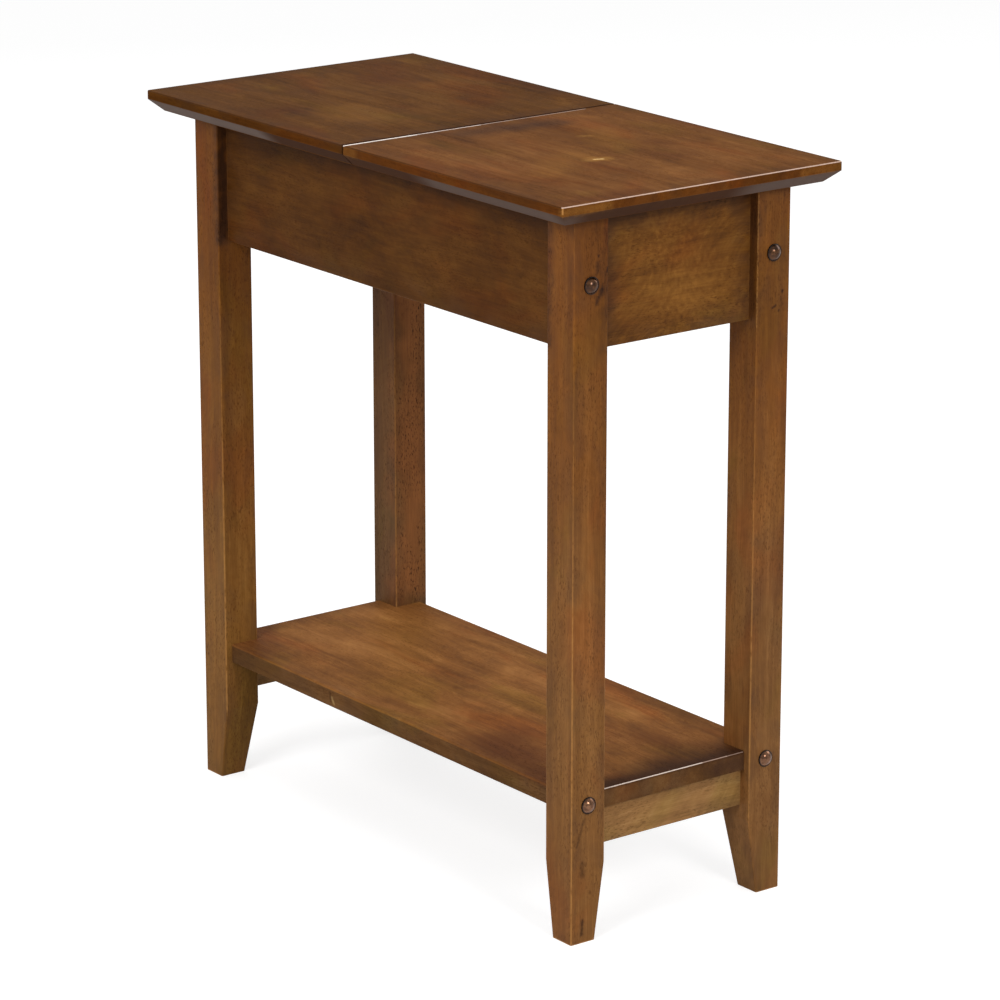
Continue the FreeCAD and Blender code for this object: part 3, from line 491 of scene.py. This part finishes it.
def painted_leg_shade(side, end):
    """Painted shadow round a leg's two bolt heads, and painted shade at its head and beside the aprons.
    """
    bolt_x, bolt_y = side * BOLT_X, end * -LEG_FACE
    head = upright(bolt_x, bolt_y, 0.45, APRON_HEAD, 0.024, 0.22, DARK_SHADE)
    shadow_rings = tuple(
        upright(bolt_x, bolt_y, z, z, 0.0095, strength, KNOT_AND_PAINTED_SHADE)
        for z, strength in ((APRON_BOLT_Z, 0.9), (SHELF_BOLT_Z, 0.5))
    )
    corners = tuple(
        upright(side * x, end * y, APRON_FOOT + 0.004, APRON_HEAD, 0.012, strength, DARK_SHADE)
        for x, y, strength in (
            (APRON_FACE_X + 0.004, LEG_INNER_Y, 0.95), (LEG_INNER_X, APRON_FACE_Y + 0.003, 0.6),
        )
    )
    return (head, *shadow_rings, *corners)


def painted_apron_shade(first, second):
    """Painted shade at the head of an apron, under the top."""
    return (((*first, APRON_HEAD), (*second, APRON_HEAD), 0.026, 0.8, DARK_SHADE),)


FIXED_TOP_PATCHES = (
    ((-0.0700, 0.0800, TOP), (-0.0500, 0.1100, TOP), 0.045, 0.3, GOLDEN_PATCH),
    ((0.0500, 0.2000, TOP), (0.0800, 0.2400, TOP), 0.05, 0.4, RED_SHADE),
)
LID_PATCHES = (
    ((0.0540, -0.0870, TOP), (0.0380, -0.1336, TOP), 0.030, 0.4, GOLDEN_PATCH),
    ((-0.0124, -0.1391, TOP), (-0.0700, -0.1800, TOP), 0.030, 0.35, GOLDEN_PATCH),
    ((0.0600, -0.1500, TOP), (0.0492, -0.1900, TOP), 0.030, 0.3, RED_SHADE),
    ((-0.0300, -0.0240, TOP), (0.0500, -0.0300, TOP), 0.026, 0.6, SMOKE_TONER),
    ((-0.1200, -0.2750, TOP), (-0.0600, -0.2750, TOP), 0.022, 0.4, RED_SHADE),
)
# The bevels are bloomed towards the corners
FIXED_TOP_BLOOMS = (
    ((BEVEL_X, -LID_END, BEVEL_Z), (BEVEL_X, 0.130, BEVEL_Z), 0.035, 0.95, GREY_BLOOM),
)
LID_BLOOMS = (
    ((BEVEL_X, -0.120, BEVEL_Z), (BEVEL_X, -0.262, BEVEL_Z), 0.035, 0.65, GREY_BLOOM),
    ((0.0600, BEVEL_Y, BEVEL_Z), (HALF_WIDTH, BEVEL_Y, BEVEL_Z), 0.035, 0.6, GREY_BLOOM),
)
LID_STREAKS = (
    # Paler stain on the edge at the corners and by the split
    ((-HALF_WIDTH, LID_END, EDGE_Z), (-0.0950, LID_END, EDGE_Z), 0.007, 0.45, GOLDEN_PATCH),
    ((0.1000, LID_END, EDGE_Z), (HALF_WIDTH, LID_END, EDGE_Z), 0.007, 0.3, GOLDEN_PATCH),
    ((-HALF_WIDTH, -0.0010, 0.6045), (-HALF_WIDTH, -0.0150, 0.6045), 0.008, 0.3, GOLDEN_PATCH),
    # A pin knot's cat's eye as a painted glint in a painted sheen, and a fainter painted sheen
    ((-0.0140, -0.1642, TOP), (-0.0030, -0.1678, TOP), 0.0120, 0.5, PAINTED_KNOT_SHEEN),
    ((-0.0125, -0.1646, TOP), (-0.0070, -0.1665, TOP), 0.0026, 0.85, PAINTED_KNOT_GLINT),
    ((0.0340, -0.0880, TOP), (0.0410, -0.0905, TOP), 0.0065, 0.25, PAINTED_KNOT_SHEEN),
)
# Painted shade in the split and along the top's left arrises
FIXED_TOP_SEAMS = (
    ((-HALF_WIDTH, -LID_SPLIT, TOP), (HALF_WIDTH, -LID_SPLIT, TOP), 0.0026, 0.9, KNOT_AND_PAINTED_SHADE),
    ((ARRIS_X, 0.0, ARRIS_Z), (ARRIS_X, -LID_END, ARRIS_Z), 0.0024, 0.6, DARK_SHADE),
)
LID_SEAMS = (
    ((ARRIS_X, LID_SPLIT, ARRIS_Z), (ARRIS_X, LID_END, ARRIS_Z), 0.0024, 0.6, DARK_SHADE),
    upright(-HALF_WIDTH, LID_SPLIT, TOP, EDGE_FACE_FOOT, 0.0012, 0.9, KNOT_AND_PAINTED_SHADE),
    # The upright arris at the near corner, with a golden painted highlight
    upright(-0.1391, -0.2856, TOP, 0.6045, 0.0010, 0.85, ARRIS_WEAR_AND_HIGHLIGHT),
)
# Painted highlights on the arrises at the lid's end and along the split
LID_LINES = (
    ((ARRIS_X, ARRIS_Y, 0.6095), (HALF_WIDTH, ARRIS_Y, 0.6095), 0.0020, 0.95, PAINTED_HIGHLIGHT),
    ((-0.1380, LID_SPLIT, TOP), (-0.0700, LID_SPLIT, TOP), 0.0046, 0.95, PAINTED_BRIGHT_HIGHLIGHT),
    ((-0.0700, LID_SPLIT, TOP), (-0.0050, LID_SPLIT, TOP), 0.0036, 0.85, PAINTED_HIGHLIGHT),
    ((-0.0050, LID_SPLIT, TOP), (0.1050, LID_SPLIT, TOP), 0.0028, 0.65, PAINTED_HIGHLIGHT),
)
NEAR_LEG_STREAKS = painted_leg_shade(-1, -1) + (
    # Pin knots round the upper bolt
    ((-0.0849, LEG_FACE, 0.5600), (-0.0849, LEG_FACE, 0.5606), 0.0017, 1.0, KNOT_AND_PAINTED_SHADE),
    ((-0.0765, LEG_FACE, 0.5470), (-0.0759, LEG_FACE, 0.5500), 0.0018, 0.9, KNOT_AND_PAINTED_SHADE),
    ((-0.0857, LEG_FACE, 0.5480), (-0.0857, LEG_FACE, 0.5540), 0.0040, 0.55, KNOT_AND_PAINTED_SHADE),
    ((-0.0822, LEG_FACE, 0.5300), (-0.0812, LEG_FACE, 0.5345), 0.0040, 0.85, KNOT_AND_PAINTED_SHADE),
    ((-0.0862, LEG_FACE, 0.5235), (-0.0850, LEG_FACE, 0.5275), 0.0032, 0.75, KNOT_AND_PAINTED_SHADE),
    # A seam and a shake in the foot
    ((-0.0955, LEG_FACE, 0.1050), (-0.1030, LEG_FACE, 0.0830), 0.0022, 0.5, KNOT_AND_PAINTED_SHADE),
    ((-0.0970, LEG_FACE, 0.0580), (-0.0975, LEG_FACE, 0.0660), 0.0055, 0.45, KNOT_AND_PAINTED_SHADE),
    ((-0.0980, LEG_FACE, 0.0070), (-0.0972, LEG_FACE, 0.0190), 0.0026, 0.75, KNOT_AND_PAINTED_SHADE),
)
RIGHT_LEG_STREAKS = painted_leg_shade(1, -1) + (
    # Pin knots under the upper bolt
    ((0.1010, LEG_FACE, 0.5050), (0.1014, LEG_FACE, 0.5060), 0.0019, 0.95, KNOT_AND_PAINTED_SHADE),
    ((0.0915, LEG_FACE, 0.4935), (0.0945, LEG_FACE, 0.4945), 0.0018, 0.85, KNOT_AND_PAINTED_SHADE),
    ((0.0975, LEG_FACE, 0.4900), (0.0980, LEG_FACE, 0.4905), 0.0016, 0.7, KNOT_AND_PAINTED_SHADE),
    # Toner gathered on the lower part
    upright(0.0920, LEG_FACE, 0.0100, 0.3000, 0.034, 0.22, SMOKE_TONER),
    # A paler line along the arris beside the front apron
    upright(LEG_INNER_X, LEG_FACE, 0.4800, 0.5900, 0.0013, 0.5, ARRIS_WEAR_AND_HIGHLIGHT),
)
SHADED_LEG_STREAKS = painted_leg_shade(1, 1) + (
    # The face towards the lid's end is painted paler, as painted light
    upright(0.0940, LEG_INNER_Y, 0.1400, 0.4750, 0.026, 0.75, PAINTED_LIGHT_FACE),
)
SHELF_PATCHES = (
    ((-0.0900, -0.2100, SHELF_TOP), (-0.0650, -0.1150, SHELF_TOP), 0.055, 0.75, RED_SHADE),
    ((0.0100, -0.1500, SHELF_TOP), (0.0500, -0.2200, SHELF_TOP), 0.040, 0.4, RED_SHADE),
    ((-0.1000, SHELF_END, SHELF_TOP), (0.1000, SHELF_END, SHELF_TOP), 0.044, 0.95, DARK_SHADE),
    ((-0.0900, 0.2000, SHELF_TOP), (-0.0600, 0.2600, SHELF_TOP), 0.035, 0.5, RED_SHADE),
    ((-0.0500, 0.0500, SHELF_TOP), (0.0500, 0.1800, SHELF_TOP), 0.050, 0.3, GOLDEN_PATCH),
)
SHELF_STREAKS = (
    # A pin knot in the edge, with a faint painted glint
    ((SHELF_SIDE, 0.0738, 0.1110), (SHELF_SIDE, 0.0765, 0.1150), 0.0026, 0.25, PAINTED_KNOT_GLINT),
    ((SHELF_SIDE, 0.0785, 0.1130), (SHELF_SIDE, 0.0790, 0.1190), 0.0024, 0.5, KNOT_AND_PAINTED_SHADE),
    # Toner gathered on the front edge by the right leg
    ((0.0450, SHELF_END, 0.1150), (0.0760, SHELF_END, 0.1150), 0.014, 0.6, SMOKE_TONER),
)
# A painted highlight on the front arris, fainter and fainter towards the right leg
SHELF_LINES = tuple(
    ((start, SHELF_ARRIS_Y, SHELF_ARRIS_Z), (end, SHELF_ARRIS_Y, SHELF_ARRIS_Z), radius, strength, color)
    for start, end, radius, strength, color in (
        (-0.0900, 0.0300, 0.0020, 0.85, PAINTED_BRIGHT_HIGHLIGHT),
        (0.0300, 0.0560, 0.0018, 0.6, PAINTED_HIGHLIGHT),
        (0.0560, 0.0730, 0.0016, 0.4, PAINTED_HIGHLIGHT),
    )
)
# The stain fades from the first height down to the second
LEG_FADE = (0.52, 0.16)


def top_bands(edge_tint, underside_tint):
    """The tints of a half's edge face, of the bevel under it and of the underside."""
    return (
        (EDGE_FACE_FOOT, EDGE_FACE_HEAD, edge_tint, 1.0, "MULTIPLY"),
        (BEVEL_FOOT, EDGE_FACE_FOOT, UNDER_BEVEL, 0.85, "MIX"),
        (0.0, BEVEL_FOOT, underside_tint, 1.0, "MULTIPLY"),
    )


# A band is its lower and upper height, its tint, its strength and how it is laid
FIXED_TOP_BANDS = top_bands((0.78, 0.68, 0.44, 1), (1.30, 1.22, 1.10, 1))
LID_BANDS = top_bands((0.76, 0.62, 0.40, 1), (1.10, 1.04, 0.94, 1))
SHELF_BANDS = ((0.0, SHELF_EDGE_HEAD, (0.54, 0.60, 0.76, 1), 1.0, "MULTIPLY"),)
REAR_APRON_STREAKS = painted_apron_shade((-LEG_INNER_X, APRON_FACE_Y), (LEG_INNER_X, APRON_FACE_Y))
FRONT_APRON_STREAKS = painted_apron_shade((-LEG_INNER_X, -APRON_FACE_Y), (LEG_INNER_X, -APRON_FACE_Y)) + (
    # Painted shade where the apron meets the left leg
    upright(-LEG_INNER_X, -APRON_FACE_Y, APRON_FOOT, APRON_HEAD, 0.022, 0.6, DARK_SHADE),
)
# A leg's name, stain, ticks, wear and streaks
LEG_LOOKS = (
    ("leg_front_left", LEG_STAIN, 0.7, 0.9, NEAR_LEG_STREAKS),
    ("leg_front_right", LEG_STAIN, 0.55, 0.9, RIGHT_LEG_STREAKS),
    ("leg_rear_left", REAR_LEG_STAIN, 0.7, 0.9, painted_leg_shade(-1, 1)),
    ("leg_rear_right", PAINTED_SHADE_LEG_STAIN, 0.7, 0.7, SHADED_LEG_STREAKS),
)

stained_board("fixed_top", "Y", FIXED_TOP_STAIN, 1, toner=0.6, wear=0.1, dullness=0.74, specular=0.02,
              bands=FIXED_TOP_BANDS, blooms=FIXED_TOP_BLOOMS, patches=FIXED_TOP_PATCHES,
              seams=FIXED_TOP_SEAMS)
stained_board("lift_lid", "Y", LID_STAIN, 2, toner=0.5, wear=0.1, dullness=0.74, specular=0.02,
              bands=LID_BANDS, blooms=LID_BLOOMS, patches=LID_PATCHES, streaks=LID_STREAKS,
              seams=LID_SEAMS, lines=LID_LINES)
stained_board("shelf", "Y", SHELF_STAIN, 3, mottle=0.8, wear=0.4, dullness=0.7, specular=0.04,
              bands=SHELF_BANDS, patches=SHELF_PATCHES, streaks=SHELF_STREAKS, lines=SHELF_LINES)
for seed, node, x in ((4, "left_apron", -APRON_FACE_X), (5, "right_apron", APRON_FACE_X)):
    stained_board(node, "Y", SIDE_APRON_STAIN, seed, mottle=0.9, wear=0.8, specular=0.05,
                  streaks=painted_apron_shade((x, -LEG_INNER_Y), (x, LEG_INNER_Y)))
stained_board("front_apron", "X", END_APRON_STAIN, 6, figure=0.65, ticks=0.6, toner=0.5, wear=0.6,
              streaks=FRONT_APRON_STREAKS)
stained_board("rear_apron", "X", END_APRON_STAIN, 7, figure=0.5, ticks=0.6, toner=0.5, wear=0.6,
              streaks=REAR_APRON_STREAKS)
for seed, node in enumerate(("front_lower_rail", "rear_lower_rail"), start=8):
    stained_board(node, "X", RAIL_STAIN, seed, figure=0.3, ticks=0.7, wear=0.8)
for seed, (node, leg_stain, ticks, wear, streaks) in enumerate(LEG_LOOKS, start=10):
    stained_board(node, "Z", leg_stain, seed, mottle=0.45, ticks=ticks, wear=wear, fade=LEG_FADE,
                  streaks=streaks)
for seed, node, grain in ((14, "divider", "X"), (15, "left_cleat", "Y"), (16, "right_cleat", "Y")):
    stained_board(node, grain, BOX_STAIN, seed, mottle=0.4, toner=0.2, wear=0.2)
stained_board("storage_floor", "Y", PANEL_STAIN, 17, figure=0.5, mottle=0.4, toner=0.1, wear=0)
for seed, dowels in enumerate(("end_apron_dowels", "rail_dowels", "divider_dowels"), start=18):
    stained_board(dowels, "X", DOWEL_STAIN, seed, mottle=0.3, toner=0, wear=0)
stained_board("side_apron_dowels", "Y", DOWEL_STAIN, 21, mottle=0.3, toner=0, wear=0)

# ---------------------------------------------------------------------------------------------
# Metal and rubber
# ---------------------------------------------------------------------------------------------

METAL_RELIEF = 0.00003
# Painted shade and dark painted reflection at the rim of the bolt heads
PAINTED_RIM_SHADE = stain(24, 15, 12)
# The bolts' name, height, and the darker and the paler tone of their bronze
# One bronze, painted darker on the apron bolts and paler on the shelf bolts as painted shade and light
BOLT_LOOKS = (
    ("apron_bolts", APRON_BOLT_Z, stain(54, 32, 18), stain(88, 56, 32)),
    ("shelf_bolts", SHELF_BOLT_Z, stain(84, 55, 37), stain(126, 88, 62)),
)


def worked_metal(name, dark, light, roughness, stretch):
    """Metal whose tone and gloss vary with handling, with fine marks along its stretch."""
    material, graph, shader = new_material(name)
    coordinates = graph.coordinates()
    patina = graph.noise(coordinates, (150, 150, 150), 3.0, 0.6)
    marks = graph.noise(coordinates, stretch, 3.0, 0.7)
    tone = graph.total(graph.product(patina, 0.7), graph.product(marks, 0.3))
    graph.put(shader.inputs["Base Color"], graph.blend(graph.remap(tone, 0.3, 0.7), dark, light))
    graph.put(shader.inputs["Roughness"], graph.total(roughness, graph.swing(tone, 0.3)))
    graph.put(shader.inputs["Normal"], graph.bump(marks, METAL_RELIEF, 0.3))
    shader.inputs["Metallic"].default_value = 1.0
    return material


def bolt_bronze(name, height, dark, light):
    """Lacquered antique bronze, with painted shade and a dark painted reflection towards the rim of each
    head.
    """
    material, graph, shader = new_material(name)
    coordinates = graph.coordinates()
    across = graph.math("SUBTRACT", graph.math("ABSOLUTE", graph.along(coordinates, "X")), BOLT_X)
    up = graph.math("SUBTRACT", graph.along(coordinates, "Z"), height)
    patina = graph.noise(coordinates, (260, 260, 260), 3.0, 0.6)
    marks = graph.noise(coordinates, (900, 900, 900), 3.0, 0.7)
    tone = graph.blend(graph.remap(patina, 0.35, 0.65), dark, light)
    out = graph.math("SQRT", graph.total(graph.product(across, across), graph.product(up, up)))
    uneven = graph.total(out, graph.product(patina, 0.0008))
    rim = graph.remap(uneven, BOLT_HEAD_RADIUS * 0.9, BOLT_HEAD_RADIUS)
    graph.put(shader.inputs["Base Color"], graph.blend(rim, tone, PAINTED_RIM_SHADE))
    graph.put(shader.inputs["Roughness"], graph.total(0.14, graph.product(patina, 0.12)))
    graph.put(shader.inputs["Normal"], graph.bump(marks, METAL_RELIEF, 0.15))
    shader.inputs["Metallic"].default_value = 0.9
    shader.inputs["Coat Weight"].default_value = 0.2
    shader.inputs["Coat Roughness"].default_value = 0.05
    return material


def moulded_rubber():
    """Dark matt rubber with a fine grit and some dust."""
    material, graph, shader = new_material("bumper_rubber")
    coordinates = graph.coordinates()
    grit = graph.noise(coordinates, (1800, 1800, 1800), 3.0, 0.6)
    dust = graph.remap(graph.noise(coordinates, (320, 320, 320)), 0.4, 0.75)
    graph.put(shader.inputs["Base Color"], graph.blend(dust, stain(34, 31, 29), stain(74, 68, 62)))
    graph.put(shader.inputs["Roughness"], graph.math("ADD", 0.62, graph.product(grit, 0.2)))
    graph.put(shader.inputs["Normal"], graph.bump(grit, 0.00004, 0.5))
    return material


ZINC = worked_metal("zinc_plating", stain(150, 150, 146), stain(196, 194, 186), 0.34, (700, 700, 700))
BRASS = worked_metal("antique_brass", stain(120, 98, 62), stain(176, 148, 98), 0.32, (60, 1600, 1600))
STEEL = worked_metal("ground_steel", stain(138, 134, 128), stain(182, 178, 170), 0.3, (60, 1800, 1800))

for node, height, dark, light in BOLT_LOOKS:
    paint(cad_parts[node], bolt_bronze(node + "_bronze", height, dark, light))
for node in ("apron_barrel_nuts", "shelf_barrel_nuts"):
    paint(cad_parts[node], ZINC)
for side in ("left", "right"):
    paint(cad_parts[side + "_hinge_fixed_leaf"], BRASS)
    paint(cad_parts[side + "_hinge_lid_leaf"], BRASS)
    paint(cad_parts[side + "_hinge_link"], STEEL)
paint(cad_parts["lid_bumpers"], moulded_rubber())

# ---------------------------------------------------------------------------------------------
# Screws with cross recesses, in place of the plain ones
# ---------------------------------------------------------------------------------------------

# The recess in shares of the head's width or radius, and the tip in shares of the shank
CROSS_ARM = 0.30
CROSS_HALF_WIDTH = 0.085
CROSS_DEPTH = 0.42
CROSS_FLOOR = 0.45
TIP_SHARE = 0.12
TIP_WIDTH = 0.25
RIM_SEGMENTS = 24
# The cross of each screw stands at its own angle
FIRST_TURN = 23
NEXT_TURN = 67
# A screw is its head's radius, its shank's radius and its length
BOARD_SCREW = (0.004, 0.002, 0.028)
LEAF_SCREW = (0.0028, 0.0015, 0.016)
LEAF_SCREW_XS = (-0.096, -0.054, 0.054, 0.096)
LEAF_SCREW_Z = 0.6016


def finished_mesh(name, form):
    """The form as a mesh. The form itself is freed."""
    mesh = bpy.data.meshes.new(name)
    form.to_mesh(mesh)
    form.free()
    return mesh


def add_object(name, data):
    """A new object in the scene, at the origin."""
    made = bpy.data.objects.new(name, data)
    bpy.context.scene.collection.objects.link(made)
    return made


def cut_cross(form, head_radius):
    """Opens a cross recess in the flat head, which lies at the origin with its shank towards -Z."""
    rim = bmesh.ops.create_circle(form, segments=RIM_SEGMENTS, radius=head_radius)["verts"]
    arm, width = CROSS_ARM * 2 * head_radius, CROSS_HALF_WIDTH * 2 * head_radius
    corner = ((arm, -width), (arm, width), (width, width))
    outline = [
        form.verts.new(Matrix.Rotation(quarter * math.pi / 2, 3, "Z") @ Vector((x, y, 0)))
        for quarter in range(4) for x, y in corner
    ]
    cross = [form.edges.new((a, b)) for a, b in zip(outline, outline[1:] + outline[:1])]
    # Each edge once, and in the same order every time
    rim_edges = list(dict.fromkeys(edge for vert in rim for edge in vert.link_edges))
    bmesh.ops.bridge_loops(form, edges=rim_edges + cross)
    wall = bmesh.ops.extrude_edge_only(form, edges=cross)["geom"]
    sunk = [part for part in wall if isinstance(part, bmesh.types.BMVert)]
    for vert in sunk:
        vert.co = Vector((vert.co.x * CROSS_FLOOR, vert.co.y * CROSS_FLOOR, -CROSS_DEPTH * head_radius))
    floor = [part for part in wall if isinstance(part, bmesh.types.BMEdge)
             and part.verts[0] in sunk and part.verts[1] in sunk]
    bmesh.ops.edgeloop_fill(form, edges=floor)
    return rim_edges


def add_shank(form, rim_edges, head_radius, radius, length):
    """Runs the countersunk cone, the shank and the tip down from the head's rim."""
    cone = head_radius - radius
    stations = ((radius, cone), (radius, length * (1 - TIP_SHARE)), (radius * TIP_WIDTH, length))
    edges, width = rim_edges, head_radius
    for next_width, depth in stations:
        grown = bmesh.ops.extrude_edge_only(form, edges=edges)["geom"]
        verts = [part for part in grown if isinstance(part, bmesh.types.BMVert)]
        for vert in verts:
            share = next_width / width
            vert.co = Vector((vert.co.x * share, vert.co.y * share, -depth))
        edges = [part for part in grown if isinstance(part, bmesh.types.BMEdge)
                 and part.verts[0] in verts and part.verts[1] in verts]
        width = next_width
    bmesh.ops.edgeloop_fill(form, edges=edges)


def drive_screw(form, head, inward, turn, head_radius, radius, length):
    """Adds one screw whose head is at the point and whose shank runs along inward."""
    screw = bmesh.new()
    add_shank(screw, cut_cross(screw, head_radius), head_radius, radius, length)
    aim = (-Vector(inward)).to_track_quat("Z", "Y").to_matrix().to_4x4()
    place = Matrix.Translation(head) @ aim @ Matrix.Rotation(math.radians(turn), 4, "Z")
    bmesh.ops.transform(screw, matrix=place, verts=screw.verts)
    bmesh.ops.recalc_face_normals(screw, faces=screw.faces)
    mesh = finished_mesh("screw", screw)
    form.from_mesh(mesh)
    bpy.data.meshes.remove(mesh)


def screw_set(node, body, heads, size):
    """Replaces a node's plain screws by ones with cross recesses."""
    form = bmesh.new()
    for index, (head, inward) in enumerate(heads):
        drive_screw(form, head, inward, FIRST_TURN + NEXT_TURN * index, *size)
    piece = add_object(node + "_crossed", finished_mesh(node + "_crossed", form))
    paint(piece, ZINC)
    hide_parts(node)
    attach(piece, body)


screw_set("top_screws", "frame", [
    ((x, y, 0.5745), (0, 0, 1)) for x in (-0.07575, 0.07575) for y in (0.08565, 0.1565)
], BOARD_SCREW)
screw_set("cleat_screws", "frame", [
    ((side * 0.06675, y, 0.5835), (side, 0, 0)) for side in (-1, 1) for y in (0.05065, 0.1915)
], BOARD_SCREW)
screw_set("fixed_leaf_screws", "frame", [
    ((x, -LID_SPLIT, LEAF_SCREW_Z), (0, 1, 0)) for x in LEAF_SCREW_XS
], LEAF_SCREW)
screw_set("lid_leaf_screws", "lid", [
    ((x, LID_SPLIT, LEAF_SCREW_Z), (0, -1, 0)) for x in LEAF_SCREW_XS
], LEAF_SCREW)

# ---------------------------------------------------------------------------------------------
# Floor, light and camera
# ---------------------------------------------------------------------------------------------

FLOOR_REACH = 30.0
FLOOR_TONE = 0.55
FLOOR_WHITE = 1.02
WORLD_LEVEL = 0.62
# A lamp is its name, place, size and power, and all of them face one point
LAMP_TARGET = (0, 0, 0.4)
LAMPS = (
    ("front_light", (-0.2, -2.7, 1.7), 0.8, 29),
    ("left_light", (-2.5, -0.7, 2.0), 1.4, 43),
    ("right_light", (2.6, -0.6, 1.7), 1.4, 14),
    ("back_light", (1.0, 2.4, 1.9), 1.6, 12),
)
CAMERA_PLACE = (-2.1615, -2.8714, 1.3457)
CAMERA_PITCH = -16.37
CAMERA_YAW = -37.21
SENSOR_WIDTH = 36.0
FOCAL_SHARE = 4.4776


def seen_share(graph):
    """1 where the camera, a reflection or clear glass sees the surface, and 0 elsewhere."""
    path = graph.node("ShaderNodeLightPath").outputs
    seen = graph.math("MAXIMUM", path["Is Camera Ray"], path["Is Glossy Ray"])
    return graph.math("MAXIMUM", seen, path["Is Transmission Ray"])


def build_floor():
    """A pale floor that reads as white where the light reaches it, and keeps the shadow."""
    form = bmesh.new()
    bmesh.ops.create_grid(form, x_segments=1, y_segments=1, size=FLOOR_REACH)
    floor = add_object("floor", finished_mesh("floor", form))
    material, graph, shader = new_material("pale_floor")
    shader.inputs["Base Color"].default_value = (FLOOR_TONE, FLOOR_TONE, FLOOR_TONE, 1)
    shader.inputs["Roughness"].default_value = 1.0
    shader.inputs["Specular IOR Level"].default_value = 0.0
    shader.inputs["Emission Color"].default_value = (1, 1, 1, 1)
    lift = FLOOR_WHITE - FLOOR_TONE * WORLD_LEVEL
    graph.put(shader.inputs["Emission Strength"], graph.product(seen_share(graph), lift))
    paint(floor, material)


def light_world():
    """Even light all round, shown as white."""
    world = bpy.data.worlds.new("studio")
    world.use_nodes = True
    world.node_tree.nodes.clear()
    graph = Graph(world.node_tree)
    backdrop = graph.node("ShaderNodeBackground")
    lift = graph.product(seen_share(graph), 1.0 - WORLD_LEVEL)
    graph.put(backdrop.inputs["Strength"], graph.math("ADD", WORLD_LEVEL, lift))
    output = graph.node("ShaderNodeOutputWorld")
    graph.put(output.inputs[0], backdrop.outputs[0])
    bpy.context.scene.world = world


def soft_light(name, place, size, power):
    """A large soft square lamp that faces the lamps' target."""
    lamp = bpy.data.lights.new(name, "AREA")
    lamp.shape = "RECTANGLE"
    lamp.size, lamp.size_y, lamp.energy = size, size, power
    aim = (Vector(LAMP_TARGET) - Vector(place)).to_track_quat("-Z", "Y").to_matrix().to_4x4()
    add_object(name, lamp).matrix_world = Matrix.Translation(place) @ aim


def place_camera():
    """A long lens before the lid's left corner, from a little above the top."""
    view = bpy.data.cameras.new("camera")
    view.sensor_width = SENSOR_WIDTH
    view.lens = FOCAL_SHARE * SENSOR_WIDTH
    holder = add_object("camera", view)
    holder.location = CAMERA_PLACE
    holder.rotation_euler = (math.radians(90 + CAMERA_PITCH), 0, math.radians(CAMERA_YAW))
    bpy.context.scene.camera = holder


build_floor()
light_world()
for name, place, size, power in LAMPS:
    soft_light(name, place, size, power)
place_camera()
bpy.context.scene.view_settings.view_transform = "Standard"
